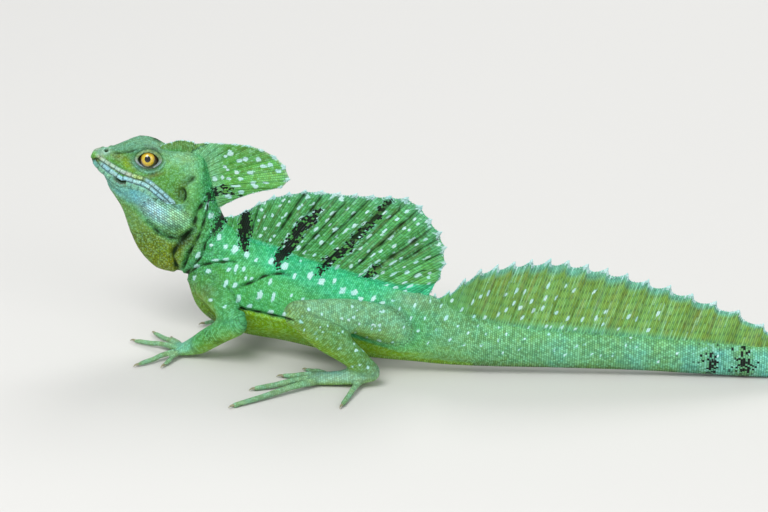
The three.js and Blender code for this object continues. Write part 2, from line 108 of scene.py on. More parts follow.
def curve(points, per_span=40):
    """Evenly spaced points along a smooth line through points, as a function of 0 to 1."""
    p = np.array(points, float)
    p = np.vstack([p[0], p, p[-1]])
    t = np.linspace(0, 1, per_span, endpoint=False)[:, None]
    spans = []
    for a, b, c, d in zip(p, p[1:], p[2:], p[3:]):
        v0, v1 = (c - a) / 2, (d - b) / 2
        spans.append(b + v0 * t + (3 * (c - b) - 2 * v0 - v1) * t**2 + (v0 + v1 - 2 * (c - b)) * t**3)
    line = np.vstack([*spans, p[-1:]])
    along = np.concatenate([[0], np.cumsum(np.linalg.norm(np.diff(line, axis=0), axis=1))])
    along /= along[-1]

    def at(where):
        where = np.asarray(where, float)
        return np.stack([np.interp(where, along, line[:, k]) for k in range(line.shape[1])], axis=-1)

    return at


def smooth(low, high, value):
    """0 below low, 1 above high and a soft step between."""
    t = np.clip((value - low) / (high - low), 0, 1)
    return t * t * (3 - 2 * t)


def bell(distance, width):
    """1 at no distance, and a smooth fall to nearly 0 at twice the width."""
    return np.exp(-((distance / width) ** 2))


def unit(v):
    """The same directions at length 1."""
    return v / np.maximum(np.linalg.norm(v, axis=-1, keepdims=True), 1e-9)


def to_line(points, line):
    """Distance of 2-D points from a bent line, how far along it each is nearest, and its length."""
    line = np.array(line, float)[:, :2]
    best = np.full(len(points), 1e9)
    along = np.zeros(len(points))
    start = 0.0
    for a, b in zip(line, line[1:]):
        step = b - a
        size = np.linalg.norm(step)
        t = np.clip((points - a) @ step / size**2, 0, 1)
        d = np.linalg.norm(points - a - t[:, None] * step, axis=1)
        near = d < best
        best[near] = d[near]
        along[near] = start + t[near] * size
        start += size
    return best, along, start


# The camera of the photograph, which also says where its marks lie on the animal.

# It looks down by RISE and leans by ROLL. One of its pixels spans PIXEL millimetres at the hips, and HIPS is
# the pixel that shows the floor under them.
RISE = math.radians(22)
ROLL = math.radians(2.3)
LENS, SENSOR = 200.0, 36.0
WIDE, TALL = 768, 512
PIXEL = 0.52
HIPS = (400, 362)
FAR = WIDE * PIXEL * LENS / SENSOR
AIM = np.array([(WIDE / 2 - HIPS[0]) * PIXEL, 0.0, (HIPS[1] - TALL / 2) * PIXEL / math.cos(RISE)])
FORWARD = np.array([0.0, math.cos(RISE), -math.sin(RISE)])
EYEPOINT = AIM - FORWARD * FAR
UPRIGHT = np.array([0.0, math.sin(RISE), math.cos(RISE)])
ACROSS = np.array([math.cos(ROLL), 0.0, 0.0]) + math.sin(ROLL) * UPRIGHT
UP = np.array([-math.sin(ROLL), 0.0, 0.0]) + math.cos(ROLL) * UPRIGHT


def photo(points):
    """Where design points lie in the photograph, in its pixels."""
    ray = points - EYEPOINT
    depth = ray @ FORWARD
    scale = LENS / SENSOR * WIDE / depth
    return np.stack([WIDE / 2 + ray @ ACROSS * scale, TALL / 2 - ray @ UP * scale], axis=1)


# The body's main lines, as in the solids.

midline = profile([
    (-163, 22), (-104, 20.5), (-93, 18.6), (-79, 15), (-66, 10.7), (-52, 6), (-30, -1), (-13, -5), (5, -7),
    (30, -7), (85, -4.5), (127, -2.5), (195, 0), (260, 4), (330, 14), (400, 28), (460, 40), (512, 47),
])
back_line = profile([
    (-113.5, 50), (-110, 61), (-104, 68), (-97, 70), (-88, 65.5), (-79, 59.5), (-66, 57.4), (-52, 55.7),
    (-30, 51), (-13, 47.7), (5, 43.8), (16, 42.5), (24, 38.5), (33, 33.5), (43, 30), (54, 27.8), (69, 25),
    (85, 23.6), (127, 21.6), (195, 18), (260, 14.2), (330, 10.4), (400, 7.2), (460, 4.8), (500, 3),
    (512, 2.2),
])
belly_line = profile([
    (-113.5, 44), (-110, 29), (-106, 19), (-98, 12), (-88, 8.4), (-78, 7.2), (-61, 7.6), (-30, 5.6),
    (5, 4.6), (22, 3.2), (44, 2.7), (85, 2.5), (120, 2), (155, 0.8), (190, -0.3), (512, -0.5),
])
trunk_half = profile([
    (-113.5, 3), (-110, 9), (-105, 13.5), (-98, 16.6), (-88, 18.4), (-79, 19.4), (-66, 20.4), (-52, 20.8),
    (-30, 19), (-13, 16), (5, 13.5), (22, 11.5), (43, 9.8), (65, 8.8), (85, 8.2), (127, 7.3), (195, 6.2),
    (260, 5.2), (330, 4.2), (400, 3.3), (460, 2.5), (500, 1.8), (512, 1.2),
])
crown_line = profile([
    (-163.5, 101.2), (-162.6, 104), (-160.5, 105.3), (-157.5, 105.5), (-154.5, 105.2), (-151.5, 105.9),
    (-148.6, 107.5), (-145.4, 109.4), (-140.8, 110.6), (-136.6, 110.4), (-132.4, 108.7), (-128.4, 106.7),
    (-122, 105.6), (-112, 105.6), (-106, 104.5), (-102, 100), (-100, 95),
])
jaw_line = profile([
    (-163.5, 98), (-161.5, 95), (-158.5, 91.5), (-154, 87), (-150.8, 84), (-143.2, 77.4), (-134.2, 70.8),
    (-126, 67.3), (-120, 65.8), (-113, 66.4), (-107, 71), (-102, 80), (-100, 88),
])
head_half = profile([
    (-163.5, 1.6), (-162, 3.2), (-159, 4.6), (-155, 5.5), (-150, 6.3), (-144, 7.7), (-138, 9.3), (-131, 11),
    (-124, 12.2), (-116, 12.8), (-109, 12), (-103, 9), (-100, 6.5),
])
throat_front = profile([
    (-156, 88), (-152.5, 80.8), (-149, 75.8), (-146, 70.8), (-144.4, 65.4), (-142.2, 58.8), (-138.1, 49),
    (-132, 41.8), (-125.9, 37.4), (-119, 36.9), (-114, 38.6), (-110, 42), (-106, 48),
])
throat_half = profile([
    (-156, 1.6), (-152, 3), (-145, 4.2), (-136, 5.2), (-126, 6.4), (-116, 7.4), (-106, 7),
])
throat_top = profile([(-156, 92), (-146, 84), (-130, 78), (-106, 76)])

# How high the widest part lies, how sharp the back is, and how square the head is.
TRUNK_WAIST, TRUNK_RIDGE = 0.42, 0.42
HEAD_WAIST, HEAD_SQUARE = 0.4, 0.78


def waist_line(x):
    """The height at which the trunk is widest."""
    return belly_line(x) + (back_line(x) - belly_line(x)) * TRUNK_WAIST


def height_share(co):
    """How far up from belly to back each point lies."""
    x = co[:, 0]
    return (co[:, 2] - belly_line(x)) / (back_line(x) - belly_line(x))


def circle(sides):
    """The rise and the reach to the side of points round a ring that starts at its top."""
    angle = np.linspace(0, 2 * math.pi, sides, endpoint=False)
    return np.cos(angle), np.sin(angle)


def trunk_ring(x, sides):
    top, bottom, half, waist = back_line(x), belly_line(x), trunk_half(x), waist_line(x)
    rise, out = circle(sides)
    lean = 1 - TRUNK_RIDGE * np.maximum(0, rise) ** 2
    reach = np.where(rise > 0, top - waist, waist - bottom)
    return np.stack([np.full(sides, x), midline(x) + half * out * lean, waist + reach * rise], axis=1)


def head_ring(x, sides):
    top, bottom, half = crown_line(x), jaw_line(x), head_half(x)
    waist = bottom + (top - bottom) * HEAD_WAIST
    rise, out = [np.sign(part) * np.abs(part) ** HEAD_SQUARE for part in circle(sides)]
    reach = np.where(rise > 0, top - waist, waist - bottom)
    return np.stack([np.full(sides, x), HEAD_Y + half * out, waist + reach * rise], axis=1)


def throat_ring(x, sides):
    top, bottom, half = throat_top(x), throat_front(x), throat_half(x)
    rise, out = circle(sides)
    z = (top + bottom) / 2 + (top - bottom) / 2 * rise
    return np.stack([np.full(sides, x), midline(x) + half * out, z], axis=1)


# Mesh making.


def sheet(bm, points):
    """A grid moved to a table of points. Returns its vertices with their row and column."""
    rows, columns = points.shape[:2]
    made = bmesh.ops.create_grid(bm, x_segments=columns - 1, y_segments=rows - 1, size=1.0)["verts"]
    placed = []
    for vert in made:
        c = round((vert.co.x + 1) / 2 * (columns - 1))
        r = round((vert.co.y + 1) / 2 * (rows - 1))
        placed.append((vert, r, c))
    for vert, r, c in placed:
        vert.co = points[r, c]
    return placed


def loft(bm, rings):
    """A closed skin over rings of points."""
    rings = np.asarray(rings, float)
    count = rings.shape[1]
    ends = [np.repeat(rings[k].mean(axis=0)[None], count, axis=0) for k in (0, -1)]
    table = np.concatenate([ends[0][None], rings, ends[1][None]])
    table = np.concatenate([table, table[:, :1]], axis=1)
    made = [vert for vert, _, _ in sheet(bm, table)]
    bmesh.ops.remove_doubles(bm, verts=made, dist=1e-4)


def tube_rings(stations, sides=20, per_span=8, flat=(0, 1, 0), ends=(0.98, 0.85, 0.5)):
    """Rings of a tapering tube through (x, y, z, radius across, radius deep) with rounded ends."""
    stations = np.array([s if len(s) == 5 else (*s, s[3]) for s in stations], float)
    count = (len(stations) - 1) * per_span
    t = np.linspace(0, 1, count + 1)
    knots = np.linspace(0, 1, len(stations))
    path = curve(stations[:, :3])(t)
    across = profile(list(zip(knots, stations[:, 3])))(t)
    deep = profile(list(zip(knots, stations[:, 4])))(t)
    forward = unit(np.gradient(path, axis=0))
    side = unit(np.cross(forward, flat))
    depth = np.cross(side, forward)
    angle = np.linspace(0, 2 * math.pi, sides, endpoint=False)

    def ring(k, shrink=1.0, push=0.0):
        reach = across[k] * shrink * np.cos(angle)[:, None] * side[k]
        rise = deep[k] * shrink * np.sin(angle)[:, None] * depth[k]
        return path[k] + forward[k] * push + reach + rise

    def cap(k, way, lifts):
        size = min(across[k], deep[k])
        return [ring(k, math.sqrt(1 - lift**2), way * lift * size * 0.8) for lift in lifts]

    body = [ring(k) for k in range(count + 1)]
    return cap(0, -1, ends) + body + cap(count, 1, ends[::-1])


def ellipsoid(bm, centre, radii, tilt=0.0):
    made = bmesh.ops.create_uvsphere(bm, u_segments=24, v_segments=12, radius=1.0)["verts"]
    turn = Matrix.Rotation(tilt, 4, "Y") @ Matrix.Diagonal((*radii, 1))
    bmesh.ops.transform(bm, matrix=Matrix.Translation(centre) @ turn, verts=made)


def coordinates(mesh):
    co = np.empty(len(mesh.vertices) * 3)
    mesh.vertices.foreach_get("co", co)
    return co.reshape(-1, 3)


def set_coordinates(mesh, co):
    mesh.vertices.foreach_set("co", co.reshape(-1))
    mesh.update()


def vertex_normals(mesh):
    n = np.empty(len(mesh.vertices) * 3)
    mesh.vertex_normals.foreach_get("vector", n)
    return n.reshape(-1, 3)


def edge_pairs(mesh):
    pairs = np.empty(len(mesh.edges) * 2, dtype=np.int32)
    mesh.edges.foreach_get("vertices", pairs)
    return pairs.reshape(-1, 2)


def relax(co, pairs, weight, rounds):
    """Moves each point towards the middle of its neighbours."""
    count = np.bincount(pairs.reshape(-1), minlength=len(co))[:, None]
    for _ in range(rounds):
        total = np.zeros_like(co)
        np.add.at(total, pairs[:, 0], co[pairs[:, 1]])
        np.add.at(total, pairs[:, 1], co[pairs[:, 0]])
        co = co + weight[:, None] * (total / count - co)
    return co


def store(mesh, name, values, kind="FLOAT_VECTOR"):
    """Keeps one value for each vertex, for the materials to read."""
    layer = mesh.attributes.new(name, kind, "POINT")
    if kind == "FLOAT_COLOR":
        values = np.column_stack([values, np.ones(len(values))])
        layer.data.foreach_set("color", values.astype(np.float32).reshape(-1))
    elif kind == "FLOAT":
        layer.data.foreach_set("value", values.astype(np.float32))
    else:
        layer.data.foreach_set("vector", values.astype(np.float32).reshape(-1))


def piece(name, mesh, material, replaces=()):
    """A finished object from a mesh in design millimetres."""
    set_coordinates(mesh, (coordinates(mesh) + SHIFT) * MM)
    mesh.materials.clear()
    mesh.materials.append(material)
    mesh.polygons.foreach_set("use_smooth", [True] * len(mesh.polygons))
    obj = bpy.data.objects.new(name, mesh)
    bpy.context.scene.collection.objects.link(obj)
    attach(obj, "root")
    if replaces:
        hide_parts(*replaces)
    return obj


def finished(bm, name):
    bmesh.ops.recalc_face_normals(bm, faces=bm.faces[:])
    mesh = bpy.data.meshes.new(name)
    bm.to_mesh(mesh)
    bm.free()
    return mesh


def fused(bm, voxel):
    """One skin round overlapping closed forms."""
    mesh = finished(bm, "forms")
    obj = bpy.data.objects.new("forms", mesh)
    bpy.context.scene.collection.objects.link(obj)
    remesh = obj.modifiers.new("fuse", "REMESH")
    remesh.mode = "VOXEL"
    remesh.voxel_size = voxel
    remesh.adaptivity = 0.0
    made = bpy.data.meshes.new_from_object(obj.evaluated_get(bpy.context.evaluated_depsgraph_get()))
    bpy.data.objects.remove(obj)
    bpy.data.meshes.remove(mesh)
    return made


def refine(mesh, chosen):
    """Divides each chosen face in four."""
    bm = bmesh.new()
    bm.from_mesh(mesh)
    bm.faces.ensure_lookup_table()
    edges = {e for f in bm.faces if chosen[f.index] for e in f.edges}
    bmesh.ops.subdivide_edges(bm, edges=list(edges), cuts=1, use_grid_fill=True)
    bm.to_mesh(mesh)
    bm.free()


def face_middles(mesh):
    middles = np.empty(len(mesh.polygons) * 3)
    mesh.polygons.foreach_get("center", middles)
    return middles.reshape(-1, 3)


# Limbs: joints, and the digits as the solids have them.


def between(a, b, share, lift):
    """A point on the way from a to b, raised by lift."""
    middle = [p + (q - p) * share for p, q in zip(a, b)]
    middle[2] += lift
    return middle


FINGERS = [
    dict(spread=70, length=15, radius=1.4, ring=6.4),
    dict(spread=56, length=25, radius=1.45, ring=6.6),
    dict(spread=27, length=25.5, radius=1.5, ring=6),
    dict(spread=-38, length=24.5, radius=1.5, ring=6),
    dict(spread=-62, length=15, radius=1.35, ring=6.2),
]
TOES = [
    dict(spread=43, length=13, radius=1.5, back=3, out=-6),
    dict(spread=6, length=19, radius=1.55, back=0, out=-3.6),
    dict(spread=-22, length=34, radius=1.65, back=-1, out=-0.4),
    dict(spread=-37, length=53, radius=1.7, back=0, out=3),
    dict(spread=-72, length=29, radius=1.55, back=22, out=1.5),
]
FORE = {
    LEFT: dict(shoulder=[-100, 7, 37], elbow=[-82.5, -17, 24.5], wrist=[-104.5, -4.5, 6.4],
               palm=[-112, -3, 2.8], turn=0.0),
    RIGHT: dict(shoulder=[-97, 31, 37], elbow=[-56, 49, 27], wrist=[-68, 48, 6.4],
                palm=[-75.5, 47.5, 2.8], turn=math.radians(8)),
}
HIND = {
    LEFT: dict(hip=[2, -14, 25], knee=[-51, -40, 42], ankle=[-11, -33.5, 7.5], ball=[-40, -33.5, 2.9],
               turn=0.0),
    RIGHT: dict(hip=[2, 0, 25], knee=[-34, 38, 34], ankle=[14, 19, 7.5], ball=[-13, 27, 2.9],
                turn=math.radians(16)),
}
SOLE = (0, 0, 1)


# How far a toe is arched off the floor.
ARCH = 1.2


def digit_line(root, heading, length, radius):
    """Stations of a toe, from its root to its tip."""
    way = np.array([-math.cos(heading), math.sin(heading)])

    def at(share, z, r):
        return (root[0] + way[0] * length * share, root[1] + way[1] * length * share, z, r)

    return [
        at(0, root[2], radius * 1.35),
        at(0.3, 2.2 + ARCH, radius * 1.08),
        at(0.62, 1.75 + ARCH * 0.4, radius * 1.02),
        at(1, 1.35, radius * 0.85),
    ]


class Bone:
    """A run of a limb: its stations, what it is and which side it is on."""

    def __init__(self, kind, side, stations, flat=(0, 1, 0)):
        self.kind, self.side, self.stations, self.flat = kind, side, stations, flat
        line = np.array([s[:4] for s in stations], float)
        self.path = curve(line[:, :3])(np.linspace(0, 1, 9))
        knots = np.linspace(0, 1, len(line))
        self.radius = np.interp(np.linspace(0, 1, 9), knots, line[:, 3])


def arm_bones(side, j):
    shoulder, elbow, wrist, palm = j["shoulder"], j["elbow"], j["wrist"], j["palm"]
    upper = [(*shoulder, 8.6, 7.4), (*between(shoulder, elbow, 0.5, 1), 7.4, 6.7), (*elbow, 6.0, 5.5)]
    lower = [(*elbow, 6.3, 5.9), (*between(elbow, wrist, 0.45, 1), 6.5, 6.1), (*wrist, 5.9, 5.5)]
    hand = [(*wrist, 5.9, 5.1), (*between(wrist, palm, 0.5, 0.5), 6.6, 4.3), (*palm, 6.5, 3.1)]
    bones = [Bone("upper_arm", side, upper), Bone("forearm", side, lower), Bone("hand", side, hand, SOLE)]
    for f in FINGERS:
        heading = j["turn"] - side * math.radians(f["spread"])
        x = palm[0] - math.cos(heading) * f["ring"] * 0.6
        y = palm[1] + math.sin(heading) * f["ring"] * 0.75
        bones.append(Bone("finger", side, digit_line((x, y, 3.2), heading, f["length"], f["radius"]), SOLE))
    return bones


def leg_bones(side, j):
    hip, knee, ankle, ball = j["hip"], j["knee"], j["ankle"], j["ball"]
    thigh = [(*hip, 11, 8), (*between(hip, knee, 0.5, 3), 9.3, 8.1), (*knee, 7.3, 6.7)]
    shank = [(*knee, 7.5, 6.5), (*between(knee, ankle, 0.3, 0), 9.2, 7.1),
             (*between(knee, ankle, 0.65, 0), 7, 5.9), (*ankle, 4.9, 4.6)]
    foot = [(*ankle, 5.3, 4.9), (*between(ankle, ball, 0.5, -0.6), 5.7, 4.1), (*ball, 6.0, 3.1)]
    bones = [Bone("thigh", side, thigh), Bone("shank", side, shank), Bone("foot", side, foot, SOLE)]
    ahead = np.array([-math.cos(j["turn"]), math.sin(j["turn"])])
    for t in TOES:
        x = ball[0] - ahead[0] * t["back"] - ahead[1] * side * -t["out"]
        y = ball[1] - ahead[1] * t["back"] + side * -ahead[0] * t["out"]
        heading = j["turn"] - side * math.radians(t["spread"])
        bones.append(Bone("toe", side, digit_line((x, y, 3.3), heading, t["length"], t["radius"]), SOLE))
    return bones


BONES = [bone for side, j in FORE.items() for bone in arm_bones(side, j)]
BONES += [bone for side, j in HIND.items() for bone in leg_bones(side, j)]
KINDS = np.array([bone.kind for bone in BONES])
DIGITS = np.isin(KINDS, ("finger", "toe"))


FAR_OFF = 50.0


def nearest_bone(co):
    """For each point: its height over the nearest limb run, which run, its place along and round it, and its
    offset from the run's middle."""
    best = np.full(len(co), FAR_OFF)
    which = np.zeros(len(co), dtype=int)
    out = np.zeros_like(co)
    for index, bone in enumerate(BONES):
        reach = bone.radius.max() + 8
        low, high = bone.path.min(axis=0) - reach, bone.path.max(axis=0) + reach
        near = np.nonzero(((co > low) & (co < high)).all(axis=1))[0]
        p = co[near]
        for a, b, ra, rb in zip(bone.path, bone.path[1:], bone.radius, bone.radius[1:]):
            step = b - a
            t = np.clip((p - a) @ step / (step @ step), 0, 1)
            offset = p - a - t[:, None] * step
            distance = np.linalg.norm(offset, axis=1) - (ra + (rb - ra) * t)
            closer = distance < best[near]
            chosen = near[closer]
            best[chosen] = distance[closer]
            which[chosen] = index
            out[chosen] = offset[closer]
    place = np.zeros((len(co), 2))
    for index, bone in enumerate(BONES):
        mine = (which == index) & (best < FAR_OFF)
        forward = unit(bone.path[-1] - bone.path[0])
        side = unit(np.cross(forward, (0, 0, 1)))
        rise = np.cross(side, forward)
        offset = co[mine] - bone.path[0]
        place[mine, 0] = offset @ forward
        place[mine, 1] = np.arctan2(offset @ side, offset @ rise) * bone.radius.mean()
    return best, which, place, out


# The skin's shape.

# Lines on the skin, in the photograph's pixels.
MOUTH = [
    (95.5, 160), (100, 166.2), (106, 171.2), (111.4, 175.2), (117, 179.3), (121, 181.8), (126.5, 181.5),
    (131, 183.2), (138, 185.3), (144, 187.3), (150.5, 191.4), (156, 196), (161.5, 200.3), (166.5, 203.8),
]
LABIAL = [
    (96.6, 157.9), (103.7, 163.2), (111.4, 167.9), (119.6, 173.1), (128.4, 176.9), (135.5, 179.2),
    (142.7, 180.9), (149.2, 184.6), (155.8, 190.1), (161.3, 194.8), (166.8, 199.9), (171, 203.8),
]
UPPER_LABIAL = [
    (99, 155.6), (106.5, 159.8), (114.5, 164.6), (122.5, 168.8), (131.5, 172.8), (139.5, 175.6),
    (147, 178.6), (153.5, 182.4), (160, 188), (166, 193.4), (171.5, 199),
]
CHIN = [(101.5, 173), (106.5, 180.5), (112.5, 186.8), (119.5, 192.2), (127, 197.2)]
CANTHUS = [
    (111.7, 153), (118, 153.6), (123.7, 153.2), (129, 152.5), (134, 150.6), (139, 148.4), (146, 147.4),
    (154, 147.8), (160, 150.5),
]
# How deep and how broad each fold is, and where it runs.
FOLDS = [
    (1.2, 1.2, [(205, 201), (202, 205.5), (197.4, 211.8), (196, 219.4), (193.7, 228.5)]),
    (1.2, 0.7, [(208.6, 200.9), (207.6, 209.6), (205.4, 218.3), (200, 233.5), (194.5, 244.3),
                (188, 253), (185.5, 262), (183, 270)]),
    (1.2, 0.7, [(213, 233.5), (205.4, 243.2), (203.2, 251.9), (200, 258.4), (193.5, 264.9), (187, 272),
                (183.7, 282)]),
    (1.2, 0.7, [(186, 280), (188.5, 273.6), (193.5, 269.3), (202.1, 264.9), (215.2, 262.6), (230, 261.4),
                (238, 262.5)]),
    (1.3, 0.8, [(236.5, 288.3), (244.2, 285.1), (255.3, 280.5), (263.6, 275.9), (272.9, 273.6), (283, 273),
                (292, 276)]),
    (1.2, 0.8, [(236, 306.8), (245.1, 310), (259, 312.4), (272.9, 315.6), (284.9, 318.4), (296, 322)]),
    (1.6, 1.15, [(194.5, 228.5), (187.5, 233.5), (179.4, 243.2), (173.9, 251.9), (172.9, 257.5),
                 (175.5, 264.9), (179, 271)]),
    (1.0, 0.8, [(192.6, 247), (188.3, 255.5), (184, 264)]),
    (0.9, 1.1, [(145.7, 220.4), (154.4, 229.1), (163.1, 236.7), (178.3, 238.9), (187, 234.5), (194, 228.5)]),
    (0.6, 1.5, [(196.5, 174), (193, 179), (188, 183.5), (185.5, 188)]),
    (0.5, 0.6, [(147, 174.6), (153, 174.2), (159, 171)]),
    (0.6, 0.6, CANTHUS),
]
NOSTRIL = (106.3, 150.3)
EAR = (180.5, 195.5)


def mirrored(co):
    """The same points, with those of the right side carried over to the left."""
    middle = np.where(co[:, 0] < HEAD_END, HEAD_Y, midline(co[:, 0]))
    over = co.copy()
    over[:, 1] = middle - np.abs(co[:, 1] - middle)
    return over


def in_photo(co):
    """Where points of either side would lie in the photograph."""
    return photo(mirrored(co))


def over_line(at, line):
    """Whether each point lies above a line across the photograph."""
    return at[:, 1] < np.interp(at[:, 0], *np.array(line).T)


def flesh_forms():
    """The closed forms that the skin is drawn over."""
    bm = bmesh.new()
    xs = np.concatenate([np.linspace(-113.5, -97, 9), np.linspace(-94, 40, 46), np.linspace(45, 512, 94)])
    loft(bm, [trunk_ring(x, 40) for x in xs])
    xs = np.concatenate([np.linspace(-163.5, -155.5, 7), np.linspace(-154, -102, 32)])
    loft(bm, [head_ring(x, 40) for x in xs])
    loft(bm, [throat_ring(x, 28) for x in np.linspace(-155.8, -106, 30)])
    neck = [(-96, 19.3, 44, 16, 13), (-101.5, 20.2, 58, 14.5, 11.5), (-106, 21, 72, 11.5, 10),
            (-109, 21.8, 86, 11, 9.5), (-111, 22, 98, 9, 8)]
    loft(bm, tube_rings(neck, sides=32))
    for side in (LEFT, RIGHT):
        ellipsoid(bm, (-117, HEAD_Y + side * 7.2, 73), (13, 7.2, 8.6), 0.45)
        ellipsoid(bm, (EYE["x"], HEAD_Y + side * 5.6, EYE["z"]), (8.2, 4.6, 7.0))
        brow = [(-155, 3.6, 103.2, 1.1), (-147.5, 5.4, 105.6, 1.3), (-140.5, 8, 107.9, 1.7),
                (-133.5, 9.3, 108, 1.8), (-126, 9.2, 105, 1.4)]
        loft(bm, tube_rings([(x, HEAD_Y + side * y, z, r) for x, y, z, r in brow], sides=14, flat=SOLE))
    for j in HIND.values():
        ellipsoid(bm, (j["knee"][0] - 0.6, j["knee"][1], j["knee"][2]), (7.9, 7.0, 7.5))
    for bone, on_digit in zip(BONES, DIGITS):
        sides = 14 if on_digit else 26
        loft(bm, tube_rings(bone.stations, sides=sides, flat=bone.flat))
    return bm


def plates(along, pitch, width):
    """1 on the borders between plates that follow one another along a line."""
    return bell((along + pitch / 2) % pitch - pitch / 2, width)


def carve_folds(co, at):
    """The folds of neck, shoulder, throat and flank, and the fine wrinkles over the shoulder, pressed in and
    with painted shade along them.
    """
    rings = np.linalg.norm(at - (236, 302), axis=1)
    shade = 0.4 * (0.5 + 0.5 * np.cos(rings * 2 * math.pi / 2.5)) ** 2 * spot(at, 210, 284, 12, 13)
    move = -0.6 * shade
    for depth, width, line in FOLDS:
        d, along, size = to_line(at, line)
        fade = smooth(0, 7, along + 1) * smooth(0, 7, size - along + 1) * (co[:, 0] < 40)
        move -= depth * bell(d, 1.9 * width) * fade
        move += 0.4 * depth * bell(d - 4.4 * width, 2.2 * width) * fade
        uneven = 0.85 + 0.3 * np.sin(along * 0.4 + size)
        shade = np.maximum(shade, 1.12 * np.sqrt(depth) * bell(d, 1.45 * width * uneven) * fade * uneven)
    return move, shade


def carve_lips(at, is_head):
    """The mouth's line and its open stretch, the rows of lip plates on both jaws, and the chin's groove, with
    painted shade in the grooves and the open mouth.
    """

    def groove(line, depth, width, roll, ends):
        d, along, size = to_line(at, line)
        seen = is_head * smooth(-1, ends[0], along) * smooth(-1, ends[1], size - along)
        return d, along, seen, -depth * bell(d, width) * seen + roll * bell(d - 2.6, 1.5) * seen

    under = ~over_line(at, MOUTH)
    d, along, seen, move = groove(MOUTH, 0.9, 0.75, 0.25, (0, 4))
    gape = smooth(20, 31, along) * (1 - smooth(37.5, 39.5, along)) * seen
    open_lips = bell(np.where(under, d, -d) - 0.9, 1.5) * gape
    lower = plates(along, 7.5, 0.6) * smooth(0.8, 1.6, d) * (1 - smooth(4.6, 5.6, d)) * under * seen
    rim = bell(d - 5.4, 0.55) * under * seen * (1 - smooth(42, 60, along))
    first = plates(along, 9.0, 0.6) * (~under & ~over_line(at, LABIAL)) * seen
    move = move - 1.0 * open_lips - 0.3 * np.maximum(lower, rim) - 0.3 * first
    darks = [bell(d, 0.65) * seen * 0.7, 1.15 * open_lips, 0.6 * lower, 0.6 * rim, 0.8 * first]
    d, along, seen, change = groove(LABIAL, 0.6, 0.6, 0.2, (1, 2))
    second = plates(along + 4, 6.2, 0.6) * (over_line(at, LABIAL) & ~over_line(at, UPPER_LABIAL)) * seen
    move += change - 0.3 * second
    darks += [bell(d, 0.65) * seen * 0.95, 0.6 * second]
    d, along, seen, change = groove(UPPER_LABIAL, 0.35, 0.6, 0.0, (2, 2))
    move += change
    darks.append(bell(d, 0.55) * seen * 0.5)
    d, along, seen, change = groove(CHIN, 0.4, 1.0, 0.2, (4, 6))
    darks.append(bell(d, 1.3) * seen * 0.35)
    return move + change, np.max(darks, axis=0)


def carve_openings(at, is_head):
    """The nostril with its rim, and the ear's shallow cup with the fold behind it, with painted shade in the
    hole, the cup and the fold.
    """
    d = np.linalg.norm((at - NOSTRIL) / (1.3, 1.0), axis=1)
    hole = 1 - smooth(1.2, 1.9, d)
    move = is_head * (0.5 * bell(d - 3.2, 1.2) - 1.5 * hole)
    away = at - EAR
    d = np.linalg.norm(away / (6.0, 7.8), axis=1)
    cup = (1 - smooth(0.72, 1.02, d)) * smooth(-5, 1.5, away[:, 0]) * is_head
    rear = bell(d - 0.93, 0.16) * smooth(0.5, 4, away[:, 0]) * (1 - smooth(4, 9, away[:, 1])) * is_head
    move += 0.5 * bell(d - 1.2, 0.2) * smooth(-4, 2, away[:, 0]) * is_head - 1.0 * cup - 1.2 * rear
    return move, np.max([1.3 * hole * is_head, 1.2 * rear, 0.2 * cup], axis=0)


def carve(co):
    """How far each point of the skin moves outwards, and how much painted shade it takes."""
    at = in_photo(co)
    is_head = co[:, 0] < HEAD_END
    cuts = [carve_folds(co, at), carve_lips(at, is_head), carve_openings(at, is_head)]
    return sum(move for move, _ in cuts), np.max([shade for _, shade in cuts], axis=0)


LID_WIDE, LID_TALL, LID_LIFT = 1.08, 0.94, 0.4


def from_eye(co):
    """How far points lie behind and above the eye's middle, stretched as its lids are."""
    return (co[:, 0] - EYE["x"]) / LID_WIDE, (co[:, 2] - EYE["z"] - LID_LIFT) / LID_TALL


def almond(dx, dz):
    """Distance from the middle of the eye, less towards its two corners."""
    r = np.hypot(dx, dz)
    corner = (np.abs(dx) / np.maximum(r, 1e-6)) ** 6
    return r * (1 - 0.13 * corner * (1 - smooth(6, 9, r)))


def shape_eyes(co):
    """Sinks the skin behind each eyeball and raises the lids round it, with painted shade in the sunken ring
    and between the lid folds.
    """
    shade = np.zeros(len(co))
    for side in (LEFT, RIGHT):
        reach = (co[:, 1] - HEAD_Y) * side
        dx, dz = from_eye(co)
        r = almond(dx, dz)
        here = (reach > 3) & (r < 12)
        ball = EYE["out"] + np.sqrt(np.maximum(0, EYE["radius"] ** 2 - np.minimum(r, 5.1) ** 2))
        low = smooth(2.0, -3.0, dz)
        surface = np.maximum(reach, 8.4)
        ramp = smooth(5.0, 8.8, r)
        ring = (ball + 0.35 + 0.35 * bell(r - 5.0, 0.7)) * (1 - ramp) + surface * ramp
        wave = 0.5 - 0.5 * np.cos((r - 6.0) * 2 * math.pi / 1.55)
        belt = smooth(5.7, 6.1, r) * (1 - smooth(8.6, 10.4, r)) * (0.25 + 0.75 * low)
        ring -= 0.32 * wave * belt
        wanted = np.where(r < 4.25, ball - 1.6, ring)
        keep = smooth(8.4, 11.5, r)
        skin = wanted * (1 - keep) + reach * keep
        co[here, 1] = HEAD_Y + side * skin[here]
        # Painted shade in the sunken ring round the eyeball and between the lid folds.
        dark = np.maximum(0.5 * wave**2 * belt, 1.2 * (1 - smooth(4.15, 4.75, r)))
        dark = np.maximum(dark, 0.8 * bell(r - 5.95, 0.3))
        shade = np.where(here, np.maximum(dark, shade), shade)
    return co, shade


VOXEL = 1.34


